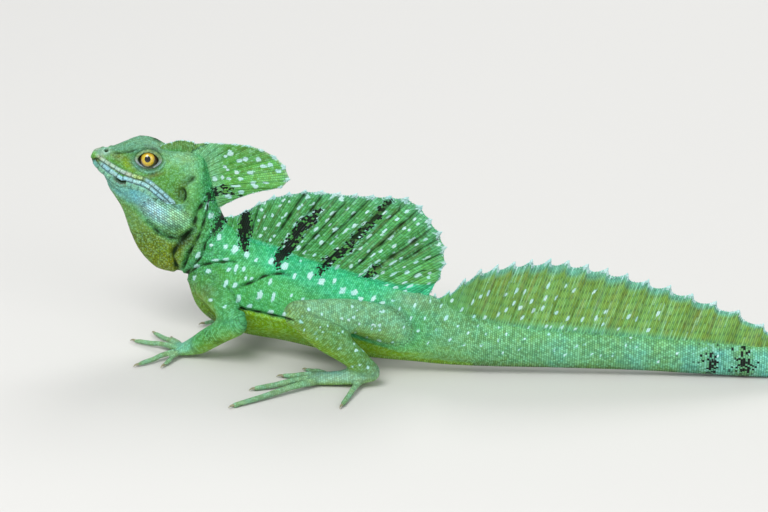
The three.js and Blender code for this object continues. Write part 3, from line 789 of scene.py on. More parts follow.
def refine_where(middles, level):
    """The faces to divide: digits, head and folds first, then eyes, mouth, nostrils and ears."""
    at = in_photo(middles)
    x, y, z = middles.T
    if level == 0:
        depth, which, _, _ = nearest_bone(middles)
        fold = np.min([to_line(at, line)[0] for _, _, line in FOLDS], axis=0)
        return (DIGITS[which] & (depth < 1.4)) | ((x < -102) & (z > 58)) | ((fold < 5) & (x < 30))
    eye = np.hypot(x - EYE["x"], z - EYE["z"]) < 9.5
    mouth = np.minimum(to_line(at, MOUTH)[0], to_line(at, LABIAL)[0])
    hole = np.minimum(np.linalg.norm(at - NOSTRIL, axis=1), np.linalg.norm(at - EAR, axis=1) - 5)
    return (((eye | (mouth < 3.6)) & (np.abs(y - HEAD_Y) > 3)) | (hole < 4)) & (x < HEAD_END)


def settle(mesh, reach, on_digits, elsewhere, rounds):
    """Relaxes a mesh, less so on the fingers and toes. Returns its points."""
    co = coordinates(mesh)
    depth, which, _, _ = nearest_bone(co)
    weight = np.where(DIGITS[which] & (depth < reach), on_digits, elsewhere)
    co = relax(co, edge_pairs(mesh), weight, rounds)
    set_coordinates(mesh, co)
    return co


def make_skin():
    """The skin's mesh, and the painted shade of each point of it."""
    mesh = fused(flesh_forms(), VOXEL)
    settle(mesh, 1.5, 0.3, 0.6, 9)
    for level in range(2):
        refine(mesh, refine_where(face_middles(mesh), level))
        co = settle(mesh, 1.5, 0.3, 0.55, 4)
    depth, which, _, out = nearest_bone(co)
    on_digit = DIGITS[which] & (np.abs(depth) < 1.2)
    push = np.where(on_digit, np.clip(-depth, -0.5, 0.9) * 0.7, 0)
    co = co + unit(out) * push[:, None]
    set_coordinates(mesh, co)
    move, shade = carve(co)
    co = co + vertex_normals(mesh) * move[:, None]
    co, eye_shade = shape_eyes(co)
    co[:, 2] = np.maximum(co[:, 2], 0.0)
    set_coordinates(mesh, co)
    return mesh, np.maximum(shade, eye_shade)


# Colours, in linear light.

GREEN = (0.060, 0.46, 0.145)
EMERALD = (0.040, 0.52, 0.215)
LEAF = (0.085, 0.45, 0.10)
LIME = (0.20, 0.46, 0.012)
BELLY_LIME = (0.23, 0.49, 0.006)
MINT = (0.165, 0.47, 0.185)
TAIL_MINT = np.array(MINT) * 0.9
TEAL = (0.12, 0.38, 0.22)
TURQUOISE = (0.12, 0.48, 0.40)
OLIVE = (0.12, 0.27, 0.05)
DULL = (0.19, 0.38, 0.22)
# Soft patches of colour, a few of them painted shade: place in the photograph, half size along and across,
# turn, strength, colour.
SHOULDER_PATCH = [(232, 272, 26, 9, 0.1, 0.6, LEAF)]
TAIL_ROOT_PATCHES = [
    (447, 352, 42, 10, 0, 0.7, (0.20, 0.50, 0.12)),
    (398, 357, 26, 7, 0.1, 1, (0.30, 0.74, 0.22)),
]
HIP_AND_NECK_PATCHES = [
    (412, 300, 26, 14, 0, 0.85, DULL),
    (396, 312, 14, 5, 0.5, 0.6, (0.12, 0.15, 0.09)),
    (216, 284, 22, 16, 0, 0.8, (0.075, 0.36, 0.07)),
    (193, 240, 9, 26, 0.45, 0.75, (0.15, 0.46, 0.06)),
]
CHEEK_PATCHES_AND_SHADE = [
    (182, 155, 22, 11, 0, 1, (0.24, 0.56, 0.28)),
    (198, 172, 14, 16, 0, 1, (0.22, 0.56, 0.26)),
    (170, 184, 13, 8, 0.5, 0.8, (0.10, 0.33, 0.055)),
    # Painted shade in the fold that runs from behind the eye towards the ear.
    (186, 183, 11, 5.5, -0.8, 0.75, (0.07, 0.19, 0.04)),
    (119, 157.5, 9, 4, 0.4, 0.9, (0.17, 0.25, 0.09)),
    (128, 164.5, 10, 4.2, 0.75, 1, (0.25, 0.46, 0.02)),
    (136, 163, 5, 9, -0.5, 0.7, (0.15, 0.38, 0.27)),
    (153, 175.5, 11, 2.6, -0.3, 0.7, (0.16, 0.16, 0.05)),
    # Painted shade over the ear.
    (181, 194, 6, 8, 0.1, 0.9, (0.07, 0.16, 0.015)),
    (192, 193, 4.5, 13, 0.2, 0.9, (0.20, 0.58, 0.19)),
    (102, 153, 7, 4, 0, 1, (0.30, 0.52, 0.38)),
    (94, 154, 3.4, 3.6, 0, 1, (0.13, 0.45, 0.03)),
]
SNOUT_PATCHES = [
    (97, 148.5, 4, 1.8, -0.5, 0.8, (0.52, 0.66, 0.56)),
    (101, 158, 6, 1.7, 0.6, 0.8, (0.52, 0.62, 0.52)),
    (96, 160, 3, 2.4, 0.5, 0.8, (0.16, 0.10, 0.04)),
]
JAW_PATCH = [(136, 195, 11, 6, 0.6, 1, (0.13, 0.50, 0.54))]
JOWL_PATCHES = [
    (157, 212, 18, 9, 0.6, 1, (0.42, 0.78, 0.90)),
    (177, 217, 15, 9, 0.3, 1, (0.28, 0.60, 0.34)),
    (165, 232, 15, 4, 0.45, 0.8, (0.14, 0.24, 0.06)),
    (170, 204.5, 9, 3, 0.45, 0.8, (0.06, 0.22, 0.13)),
]
ELBOW_SHADE = [(206, 293, 9, 7, 0, 0.8, (0.12, 0.16, 0.07))]
THIGH_PATCH = [(400, 346, 22, 9, 0.35, 1, (0.26, 0.70, 0.32))]
FOREARM_PATCH = [(243, 350, 12, 8, -0.6, 1, (0.14, 0.40, 0.26))]
HEAD_CREST_PATCHES = [
    (258, 150, 40, 7, 0, 0.7, (0.11, 0.27, 0.02)),
    (270, 178, 26, 8, 0, 0.7, (0.19, 0.50, 0.10)),
    (228, 196, 20, 8, 0, 0.7, (0.16, 0.50, 0.09)),
]
DORSAL_PATCH = [(425, 280, 26, 16, 0, 0.8, (0.13, 0.47, 0.07))]


def painted(points, colour):
    """One colour for every point."""
    return np.tile(np.array(colour), (len(points), 1))


def tinted(base, mask, colour):
    """The base colour with another laid over it where the mask says."""
    mask = np.clip(mask, 0, 1)[:, None]
    return base * (1 - mask) + np.array(colour) * mask


def dabbed(base, at, patches, mask=1):
    """The base colour under a row of soft patches."""
    for u, v, wide, tall, turn, strength, colour in patches:
        base = tinted(base, spot(at, u, v, wide, tall, turn) * strength * mask, colour)
    return base


def spot(at, u, v, wide, tall, turn=0.0):
    """1 in the middle of a soft oval of the photograph, falling to nearly 0 outside it."""
    return bell(np.hypot(
        ((at[:, 0] - u) * math.cos(turn) + (at[:, 1] - v) * math.sin(turn)) / wide,
        ((at[:, 1] - v) * math.cos(turn) - (at[:, 0] - u) * math.sin(turn)) / tall,
    ), 1.0)


def body_tint(co):
    """The colour of the trunk and tail at each point, before its spots and scales."""
    at = in_photo(co)
    u, v = at.T
    low = np.clip(height_share(co), 0, 1)
    base = painted(co, GREEN)
    ridge = v - np.interp(u, [240, 284, 330, 373], [262, 276, 296, 312])
    flank = smooth(245, 275, u) * (1 - smooth(385, 430, u))
    base = tinted(base, flank * (1 - smooth(-6, 10, ridge)), EMERALD)
    base = tinted(base, smooth(-4, 14, ridge) * (1 - smooth(290, 330, u)) * 0.6, LEAF)
    base = dabbed(base, at, SHOULDER_PATCH)
    tail = smooth(400, 450, u)
    base = dabbed(tinted(base, tail, TAIL_MINT), at, TAIL_ROOT_PATCHES)
    base = tinted(base, tail * (1 - smooth(0.06, 0.34, low)) * 0.9, OLIVE)
    base = tinted(base, tail * bell(low - 0.5, 0.2) * 0.35, TEAL)
    for place, strength in ((560, 0.3), (635, 0.4), (690, 0.6), (722, 0.8), (764, 0.8)):
        band = bell(u - place, 13) * tail * (1 - smooth(0.75, 1.0, low))
        base = tinted(base, band * strength, TURQUOISE)
    base = tinted(base, smooth(770, 900, u) * (0.3 + 0.3 * np.sin(u / 14)), OLIVE)
    base = dabbed(base, at, HIP_AND_NECK_PATCHES)
    fold = np.interp(u, [180, 239.6, 263.6, 284.9, 330, 400], [288, 308, 314, 318.5, 330, 352])
    belly = smooth(-0.6, 1.2, v - fold) * (1 - smooth(395, 440, u))
    belly = np.maximum(belly, (1 - smooth(0.10, 0.2, low)) * (co[:, 0] < 40))
    base = tinted(base, belly * (co[:, 0] > -110), BELLY_LIME)
    return tinted(base, spot(at, 191, 304, 12, 22, 0.35) * (co[:, 0] > -114), LIME)


def lip_tint(at, colour):
    """The rows of lip plates, and the dark red of the open lips."""
    d, mouth_along, _ = to_line(at, MOUTH)
    under = ~over_line(at, MOUTH)
    start = smooth(1, 9, mouth_along)
    colour = tinted(colour, (1 - smooth(4.6, 5.6, d)) * ~under * start, (0.35, 0.68, 0.74))
    plate = 0.75 + 0.25 * np.sin(mouth_along * 2 * math.pi / 9.0)
    colour = tinted(colour, (1 - smooth(4.4, 5.6, d)) * under * start * plate, (0.24, 0.58, 0.40))
    e, along, _ = to_line(at, LABIAL)
    row = (1 - smooth(3.8, 4.8, e)) * over_line(at, LABIAL) * smooth(0, 6, along)
    colour = tinted(colour, row * (1 - smooth(48, 54, along)), (0.48, 0.72, 0.56))
    colour = tinted(colour, row * bell(along - 36, 8) * 0.7, (0.46, 0.50, 0.46))
    colour = tinted(colour, row * bell(along - 46, 6), (0.34, 0.55, 0.16))
    colour = tinted(colour, row * smooth(51, 57, along), (0.35, 0.68, 0.76))
    lip = bell(d - 1.9, 0.7) * under * smooth(24, 31, mouth_along) * (1 - smooth(38, 40, mouth_along))
    return tinted(colour, lip * 0.8, (0.16, 0.05, 0.05))


def lid_tint(co, colour):
    """The ring of lids, pale blue under the eye."""
    over = mirrored(co)
    dx, dz = from_eye(over)
    lid = almond(dx, dz)
    near = np.abs(over[:, 1] - EYE_AT[1]) < 9
    beneath = smooth(1.5, -2.5, dz) * near
    colour = tinted(colour, (1 - smooth(5.2, 5.8, lid)) * near, (0.22, 0.36, 0.15))
    colour = tinted(colour, (1 - smooth(5.5, 6.1, lid)) * beneath, (0.50, 0.60, 0.68))
    return tinted(colour, bell(lid - 7.2, 1.0) * beneath * 0.6, (0.17, 0.42, 0.36))


def head_tint(co, base):
    at = in_photo(co)
    u, v = at.T
    head = (1 - smooth(-112, -100, co[:, 0])) * smooth(48, 62, co[:, 2] + 0.5 * (co[:, 0] + 112))
    colour = painted(co, (0.105, 0.36, 0.05))
    colour = tinted(colour, smooth(222, 232, v), (0.10, 0.34, 0.06))
    colour = tinted(colour, 1 - smooth(147, 153, v - 0.02 * u), (0.12, 0.345, 0.18))
    colour = dabbed(colour, at, CHEEK_PATCHES_AND_SHADE)
    rim = bell(np.linalg.norm(at - NOSTRIL, axis=1) - 3.0, 1.0)
    colour = dabbed(tinted(colour, rim * 0.7, (0.36, 0.62, 0.46)), at, SNOUT_PATCHES)
    jaw = ~over_line(at, MOUTH) * (1 - smooth(13, 24, to_line(at, MOUTH)[0])) * (1 - smooth(-6, 14, u - 180))
    colour = dabbed(tinted(colour, jaw, (0.18, 0.51, 0.42)), at, JAW_PATCH, jaw)
    colour = dabbed(colour, at, JOWL_PATCHES)
    colour = tinted(colour, smooth(232, 240, v) * 0.8, (0.12, 0.28, 0.06))
    colour = lid_tint(co, lip_tint(at, colour))
    return base * (1 - head[:, None]) + colour * head[:, None]


def throat_tint(co, base):
    at = in_photo(co)
    u, v = at.T
    top = np.interp(u, [100, 118, 133, 148, 158, 168, 180, 192], [176, 193, 206, 222, 231, 237, 240, 236])
    throat = smooth(-1, 7, v - top) * (1 - smooth(176, 186, u - 0.25 * (262 - v))) * (co[:, 0] < HEAD_END)
    colour = tinted(painted(co, (0.15, 0.35, 0.09)), smooth(215, 250, v), (0.20, 0.34, 0.015))
    colour = tinted(colour, spot(at, 168, 266, 18, 8) * 0.8, (0.32, 0.42, 0.02))
    base = base * (1 - throat[:, None]) + colour * throat[:, None]
    # Painted shade: a near-black patch in the hollow between the dewlap and the neck.
    hollow_shade = spot(at, 183, 242, 12, 3.6, -0.8) * (co[:, 0] < -100)
    return tinted(base, hollow_shade * 0.85, (0.045, 0.06, 0.012))


def limb_tint(co, normals, base, depth, which, trunk_depth):
    """The limbs' colours laid over the trunk's, and how far each point belongs to a limb."""
    kinds = KINDS[which]
    limb = smooth(-0.5, 5.0, trunk_depth - depth) * (depth < 3)
    at = in_photo(co)
    colour = dabbed(painted(co, (0.075, 0.37, 0.085)), at, ELBOW_SHADE)
    for names, strength, own in (
        (("thigh",), 0.9, (0.20, 0.49, 0.26)),
        (("shank",), 0.9, (0.11, 0.28, 0.06)),
        (("foot", "hand"), 1, (0.16, 0.50, 0.32)),
        (("foot",), 0.7, (0.22, 0.40, 0.33)),
        (("toe", "finger"), 1, (0.20, 0.40, 0.20)),
    ):
        colour = tinted(colour, np.isin(kinds, names) * strength, own)
    for joints, joint, reach, strength, own in (
        (HIND, "knee", 13, 0.5, (0.22, 0.42, 0.22)),
        (HIND, "ankle", 9, 0.5, (0.16, 0.27, 0.15)),
        (FORE, "elbow", 10, 0.55, (0.08, 0.44, 0.20)),
    ):
        for j in joints.values():
            away = np.linalg.norm(co - j[joint], axis=1)
            colour = tinted(colour, bell(away, reach) * strength, own)
    rng = np.random.default_rng(8)
    for _ in range(60):
        seat = co[rng.integers(len(co))]
        cloud = bell(np.linalg.norm(co - seat, axis=1), rng.uniform(2.5, 5))
        own = (0.24, 0.42, 0.24) if rng.random() < 0.5 else (0.09, 0.36, 0.08)
        colour = tinted(colour, cloud * 0.35, own)
    colour = dabbed(colour, at, THIGH_PATCH, kinds == "thigh")
    colour = dabbed(colour, at, FOREARM_PATCH, kinds == "forearm")
    under = smooth(0.0, 0.7, -normals[:, 2] - 0.25 * normals[:, 0]) * ~DIGITS[which]
    colour = tinted(colour, under * 0.85, (0.27, 0.52, 0.02))
    return base * (1 - limb[:, None]) + colour * limb[:, None], limb


# Marks, all in the photograph's pixels. White spots of the flank: place and half size.
SPOTS = [
    (235, 249, 3.3, 4.2), (246.5, 254.1, 2.8, 4.2), (225.7, 246.3, 2, 3), (211.4, 245.3, 2.6, 1.7),
    (256.2, 259.7, 2, 2.3), (271.5, 260.6, 2.7, 4), (284.4, 265.7, 3.7, 4), (294.6, 275.9, 1.6, 3.2),
    (310.3, 275.6, 3, 4.4), (321.6, 281.6, 3.4, 3.8), (334.3, 281.2, 2, 3), (342.5, 290.3, 3, 3.5),
    (354.2, 292.8, 3.4, 3.3), (360.8, 298.6, 3, 2.2), (373.5, 298.6, 2.5, 3.5), (382.3, 302.8, 3, 1.9),
    (198, 255.5, 2.4, 3.2), (197, 266.1, 3, 2), (215.5, 260, 4, 1.5), (225.7, 259.2, 3, 1.5),
    (228.9, 269.4, 2.3, 2.6), (235.9, 268.9, 1.8, 4.4), (243.7, 268.9, 2, 2.5), (208.1, 271.2, 3, 2.5),
    (194.3, 277.7, 1.7, 2.6), (225.7, 283.7, 2, 4), (235, 285.1, 2.2, 3), (245.6, 277.7, 1.7, 2.4),
    (251.6, 278.6, 1.8, 1.8), (270.1, 282.3, 1.8, 3.6), (259.5, 295.3, 2.8, 5), (273.3, 297.1, 1.8, 4.6),
    (238.7, 298.5, 2.4, 4), (249.8, 305.9, 2.8, 2.1), (270.6, 311.9, 3, 2), (284, 314, 2, 2),
    (219.2, 237, 2.6, 3.6), (210.4, 215.7, 3, 3), (197, 231.5, 2.5, 2.5), (207.2, 205.5, 1.6, 4.5),
    (291.4, 295.3, 1.6, 1.6), (302.9, 299, 1.7, 1.6), (319.1, 299.9, 1.4, 1.4), (300.6, 261, 1.5, 1.5),
    (405.5, 287.8, 3, 2.6), (242.4, 239.8, 1.5, 1.8), (210.9, 299.9, 2.2, 2), (224.8, 306.4, 2.2, 1.7),
    (206.5, 156.7, 1.7, 2), (217.8, 166.8, 1.3, 1.5), (214.9, 178.5, 2.4, 2.4), (208.5, 163, 1.2, 2.5),
    (215.2, 189.9, 2.4, 1.8), (393.5, 300.5, 2, 1.6), (400, 309, 1.5, 2), (391, 313, 1.4, 1.2),
]
# Small pale scales of the tail and its crest: place.
TAIL_SPOTS = [
    (472.9, 301.8), (480.5, 296.1), (488.1, 293.2), (506.1, 294.2), (516.6, 290.4), (525.1, 291.3),
    (531.8, 300.8), (545.1, 298), (548, 285.6), (513.7, 302.7), (520.4, 307.5), (533.7, 310.3),
    (542.2, 307.5), (555.6, 298), (556.5, 312.2), (506.1, 309.4), (498.5, 314.1), (485.2, 317),
    (522.3, 317), (567.9, 317.9), (582.2, 318.9), (595.5, 317.9), (605, 311.3), (603.1, 323.7),
    (618.3, 328.4), (628.7, 316), (636.3, 318.9), (648.7, 329.4), (658.2, 313.2), (573.6, 290.4),
    (566, 285.6), (594.5, 291.3), (473.8, 316), (477.6, 325.6), (499.5, 327.5), (546, 325.6),
    (550.8, 326.5), (562.2, 326.5), (575.5, 328.4), (528, 327.5), (486.2, 334.1), (506.1, 334.1),
    (525.1, 338.9), (548.9, 334.1), (561.3, 334.1), (498.5, 340.8), (481.4, 345.5), (519.4, 349.3),
    (502.3, 353.1), (553.7, 350.3), (565.1, 355), (576.5, 346.5), (584.1, 344.6), (591.7, 354.1),
    (612.6, 355), (601.2, 356), (625.9, 345.5), (630.7, 337.9), (637.3, 346.5), (677.2, 353.1),
    (693.4, 354.1), (658.2, 361.7), (718, 356), (430, 301), (441, 306), (452, 300), (462, 309),
    (446, 318), (458, 326), (468, 333), (425, 318), (436, 330), (450, 340), (464, 345), (418, 331),
    (428, 343), (411, 318), (404, 327), (415, 305),
]
# Black bars: a line, and the half width at each of its points.
BARS = [
    ([(222, 217.5), (219, 224), (215.5, 231.5)], [2.4, 2.8, 1.8]),
    ([(249.8, 208.3), (246, 216.2), (244.5, 230.5), (244.2, 243), (245, 250)], [0.8, 4.3, 4.4, 2.8, 1.0]),
    ([(318.2, 210.2), (312.7, 218), (301.6, 226.5), (293.2, 239.8), (284.9, 250.9), (277.5, 259.2),
      (277.5, 266)], [1.0, 2.3, 4.2, 3.8, 4.6, 3.6, 1.0]),
    ([(389, 201.6), (372.4, 221.5), (355.8, 236.4), (349.2, 246.4), (335.9, 254.7), (326, 263),
      (317.7, 274.6)], [1.2, 1.4, 1.5, 2.2, 3.0, 2.8, 1.2]),
    ([(376, 266), (367.4, 276.2)], [1.6, 1.3]),
    ([(216, 190), (211, 195.5), (208, 201)], [1.6, 3.0, 1.6]),
]
# Pale and black spots of the head's crest: place and half size.
HEAD_CREST_SPOTS = [
    (230.2, 153.1, 3.3, 2.8), (225.7, 156, 1.9, 1.7), (239.5, 160.2, 3.4, 2.1), (245.5, 158.6, 3.6, 2.1),
    (258.5, 159.3, 2.7, 2.6), (263.1, 165.8, 3.1, 1.7), (270.5, 164.8, 2.7, 2.1), (286.2, 162.9, 2.9, 2.3),
    (278.4, 171, 3.3, 1.9), (250.7, 172.3, 3.4, 2.1), (237, 172, 2.5, 2.1), (227.6, 169, 1.9, 1.5),
    (225.3, 166.4, 1.8, 1.7), (240.6, 178.5, 2.7, 1.7), (228.6, 178.1, 2.5, 1.4), (253.2, 183.4, 2.8, 2.4),
    (256, 186.6, 2.4, 2.2), (266, 182.4, 3, 1.3), (235.1, 185.6, 5, 1.1), (241.3, 191.8, 3.2, 1.8),
    (228.6, 195.7, 3.6, 2.5), (214.9, 178.5, 2.4, 2.4), (222.5, 176.5, 1.2, 2.4), (215, 201.5, 1.5, 2.6),
]
CREST_BLACKS = [
    (226, 187.3, 4.5, 2.2), (231.8, 193.4, 2.6, 1.4), (240.6, 195, 1.6, 1.0), (217, 191, 4, 1.6),
    (225, 192.5, 2.5, 1.3),
]
# Folds of the back's crest, with painted shade: half width and line. Its pale dashes: place, half length and
# half width.
CREST_FOLDS = [
    (1.5, [(306.2, 192.6), (298.6, 202.4), (291.6, 212.8), (287.4, 219.8), (280.5, 229.5), (276.3, 233.7)]),
    (1.3, [(322.2, 195.4), (315.9, 204.5), (308.3, 214.2), (302.7, 218.4)]),
    (1.4, [(346, 198.7), (343.8, 204.5), (338.9, 208.6), (329.8, 219.8), (319.4, 230.9), (309, 241.3),
           (301.3, 250.3), (298.6, 253.1)]),
    (1.1, [(369.5, 199.4), (359.2, 209.7), (345, 223.9), (333.3, 233.7), (326.4, 241.3), (318, 249.7)]),
    (1.0, [(258.9, 205.9), (256.9, 214.2), (254.1, 223.9), (251.3, 232.3)]),
    (1.4, [(391.5, 201.6), (381.9, 211.1), (373.1, 219.2), (365.8, 226.5), (357, 234.6), (349.7, 242.7)]),
    (1.4, [(417.9, 209.7), (408.3, 219.2), (398.8, 226.5), (388.5, 236.8), (380.5, 244.9), (373.1, 249.3),
           (364.3, 259.5), (354.1, 267.6), (350.4, 270.5)]),
    (0.9, [(401, 204.5), (398.8, 211.1), (390.7, 217.7), (385.6, 222.1)]),
    (1.7, [(431.8, 227.3), (423, 235.3), (412.7, 241.9), (405.4, 247.8), (395.1, 254.4), (386.3, 259.5),
           (379, 266.1), (373.1, 269.1)]),
    (1.0, [(440.6, 238.3), (430.3, 244.1), (419.3, 250.7), (412, 255.9), (402, 262)]),
    (0.8, [(445, 252.9), (434, 257.3), (424, 262)]),
    (0.6, [(426.7, 269.1), (419.3, 271.3), (409.8, 277.9)]),
]
CREST_DASHES = [
    (262.1, 209.7, 2, 1.5), (258.6, 219.8, 1.8, 1.5), (264.8, 216.3, 2, 0.9), (264.8, 228.1, 2, 1.8),
    (260.7, 235.4, 2, 1.4), (272.5, 214.9, 2.2, 1.7), (286, 213.8, 2.2, 1.4), (282.2, 217.3, 1.6, 0.9),
    (279.1, 223.6, 2.6, 1.6), (283.3, 200, 2.4, 1.5), (289.2, 201.3, 1.8, 1), (280.1, 205.2, 1.3, 1),
    (274.2, 235.4, 2, 1.3), (270.4, 239.2, 2, 1.3), (298.9, 207.9, 2.6, 1.6), (302, 205.2, 1.3, 0.9),
    (307.6, 197.2, 2.2, 1.6), (313.5, 203.4, 2.6, 1.4), (301.3, 218, 3, 1.6), (295.4, 223.9, 2.6, 1.7),
    (287.8, 234.7, 3.4, 1.2), (285.7, 240.6, 3, 1.4), (284, 246.2, 1.8, 1.1), (313.9, 211.8, 3.4, 1.4),
    (322.2, 210.4, 3.4, 0.9), (315.9, 219.1, 3.4, 0.9), (309, 226, 3, 1), (303.4, 228.1, 2.2, 0.9),
    (315.6, 228.8, 2.8, 1.7), (332.6, 212.5, 2.8, 1.8), (327.1, 219.4, 2.6, 1.3), (330.2, 224.6, 2.4, 0.8),
    (335.4, 228.8, 3.4, 1.9), (317, 236.4, 3.8, 0.9), (321.5, 242, 2.4, 1.9), (331.6, 242.7, 3, 1),
    (336.1, 236.4, 2, 0.8), (304.8, 251.7, 3, 1.2), (314.6, 254.5, 1.5, 1), (337.1, 248.3, 2.8, 1.2),
    (326.4, 257.6, 2.6, 1.6), (298.6, 246.9, 3, 2), (302.4, 241, 1.8, 1.1), (296.8, 236.4, 1.6, 0.9),
    (331.2, 262.2, 2.4, 1.6), (337.5, 266.3, 3.6, 1.4), (279.1, 254.2, 2, 1.6), (286.7, 253.8, 1.4, 1),
    (288.8, 244.1, 2, 1), (317.3, 191.6, 3.4, 2.2), (333.3, 195.4, 4, 1.8), (341.7, 197.5, 3, 2.6),
    (290.9, 192.6, 3, 1.5), (275.6, 196.1, 2.6, 1.4), (264.8, 202, 2.4, 1.6), (258.9, 203.4, 2, 1.4),
    (247.1, 210.7, 3, 2), (353, 213, 2.8, 1.5), (347.8, 208.9, 2.4, 1), (366.9, 211.9, 2, 0.9),
    (384.5, 212.2, 3.2, 1), (388.9, 216.6, 2.6, 1), (397.3, 218.8, 2.2, 1), (354.4, 225.1, 2.8, 1.7),
    (364, 223.2, 3, 1.3), (345.6, 230.9, 3.6, 0.9), (336.5, 229.1, 2.6, 1.5), (366.5, 229.1, 2.4, 0.9),
    (360.3, 235.7, 3, 1.2), (368.7, 236.1, 4, 1.4), (384.9, 230.2, 3, 1.2), (381.9, 233.9, 2, 1),
    (391.5, 237.5, 3.6, 1.2), (404.3, 228, 2.6, 1), (409.1, 229.5, 1.8, 1.3), (414.6, 219.2, 2, 1.4),
    (417.9, 223.6, 2, 1.4), (407.2, 210.8, 3, 1.4), (352.6, 241.9, 2.2, 0.9), (412, 239.7, 4, 1.6),
    (425.6, 239, 2.2, 1.2), (394.4, 245.6, 3, 1.6), (380.5, 250.7, 2.8, 1.1), (373.5, 254.4, 2.8, 0.9),
    (368.4, 250.7, 2.6, 1.5), (360.3, 248.5, 2.4, 1.2), (352.6, 250.4, 4.6, 0.9), (359.9, 260.3, 2.4, 1.4),
    (351.1, 266.1, 2.8, 1.4), (337.2, 266.9, 3.4, 1.4), (393.7, 252.6, 2, 1), (377.5, 261, 3.6, 1.2),
    (371.7, 265.4, 3.6, 1.2), (366.5, 269.8, 3, 1.3), (360.7, 273.8, 3, 1), (401, 257.7, 2.4, 1.2),
    (392.9, 262.1, 4.6, 1.3), (382.7, 272, 2.8, 1.3), (376.1, 276.4, 4, 1.2), (427.8, 257.3, 5, 0.9),
    (415.7, 262.1, 2.6, 1.3), (404.3, 266.5, 2.2, 1), (393.7, 273.5, 5, 1), (406.9, 272, 2.4, 1.4),
    (417.9, 274.9, 4.4, 2), (429.6, 273.1, 1.8, 1), (440.6, 269.1, 2, 1.5), (428.5, 277.1, 2, 1),
    (404.7, 281.9, 3.4, 1), (395.9, 286.7, 3, 1.5), (386, 284.8, 2, 1), (409.8, 285.9, 3.6, 1),
    (405.4, 290.3, 2.4, 1.2), (428.9, 283, 2.4, 1), (416.4, 244.1, 2.4, 0.9), (439.1, 244.1, 2.2, 1.6),
    (446.5, 250, 1.6, 1), (405.4, 196.5, 3, 2), (418.6, 205.3, 2.4, 1.8), (429.6, 220.7, 2.4, 1.6),
    (439.5, 231.3, 1.8, 1.4),
]


def spot_field(at, marks):
    """How deep each point lies in the nearest spot: above 0 inside it."""
    field = np.full(len(at), -1.0)
    for u, v, wide, tall in marks:
        d = np.abs((at - (u, v)) / (wide, tall))
        field = np.maximum(field, 1 - (d[:, 0] ** 3 + d[:, 1] ** 3) ** (1 / 3))
    return field


def bar_field(at):
    """How deep each point lies in the nearest black bar: above 0 inside it."""
    field = np.full(len(at), -1.0)
    for line, halves in BARS:
        d, along, _ = to_line(at, line)
        steps = np.linalg.norm(np.diff(np.array(line), axis=0), axis=1)
        half = np.interp(along, np.concatenate([[0], np.cumsum(steps)]), halves)
        field = np.maximum(field, (half + 0.8 - d) / 6.5)
    return field


def tail_spots(at):
    """The pale specks of the tail: long on its crest, short below, and strewn beyond the picture."""
    rng = np.random.default_rng(11)
    marks = []
    for u, v in TAIL_SPOTS:
        tall = 2.6 if v < 322 else 1.8
        marks.append((u, v, 1.4 * rng.uniform(0.8, 1.2), tall * rng.uniform(0.8, 1.2)))
    for _ in range(60):
        x = rng.uniform(195, 400)
        share = rng.uniform(0.25, 0.9)
        z = belly_line(x) + (back_line(x) - belly_line(x)) * share
        half = trunk_half(x) * math.sqrt(max(0.0, 1 - (2 * share - 0.9) ** 2))
        u, v = photo(np.array([[x, midline(x) - half, z]]))[0]
        marks.append((u, v, rng.uniform(0.8, 1.4), rng.uniform(0.9, 1.5)))
    leaning = np.column_stack([at[:, 0] + (at[:, 1] - 320) * 0.4, at[:, 1]])
    slanted = [(u + (v - 320) * 0.4, v, wide, tall) for u, v, wide, tall in marks]
    return spot_field(leaning, slanted)


def skin_marks(co, shade, limb):
    """How deep each point of the skin lies in pale spots, in black bars and in shade."""
    at = in_photo(co)
    u, v = at.T
    rng = np.random.default_rng(17)
    slant = np.column_stack([u + v * 0.25, v])
    spots = spot_field(slant, [(a + b * 0.25, b, wide, tall) for a, b, wide, tall in SPOTS])
    dots = [
        (rng.uniform(300, 395), rng.uniform(300, 372), rng.uniform(1.0, 2.2), rng.uniform(1.0, 2.0))
        for _ in range(50)
    ]
    on_leg = (limb > 0.5) & (u > 290)
    spots = np.where(on_leg, np.where(v < 372, spot_field(at, dots), -1.0), spots)
    spots = np.where(u > 400, np.maximum(spots, tail_spots(at)), spots)
    spots = np.where((co[:, 0] > HEAD_END) | (co[:, 2] < 60), spots, -1.0)
    spots = np.where(co[:, 2] < 4, -1.0, spots)
    bars = np.where(((co[:, 0] > -106) | (co[:, 2] < 60)) & (limb < 0.5), bar_field(at), -1.0)
    low = height_share(co)
    for place, wide, strength in ((745, 9, 0.8), (710, 8, 0.55), (820, 10, 0.7), (905, 12, 0.7)):
        bars = np.maximum(bars, bell(u - place, wide) * bell(low - 0.45, 0.5) * strength - 0.6)
    return np.column_stack([spots, bars, shade])


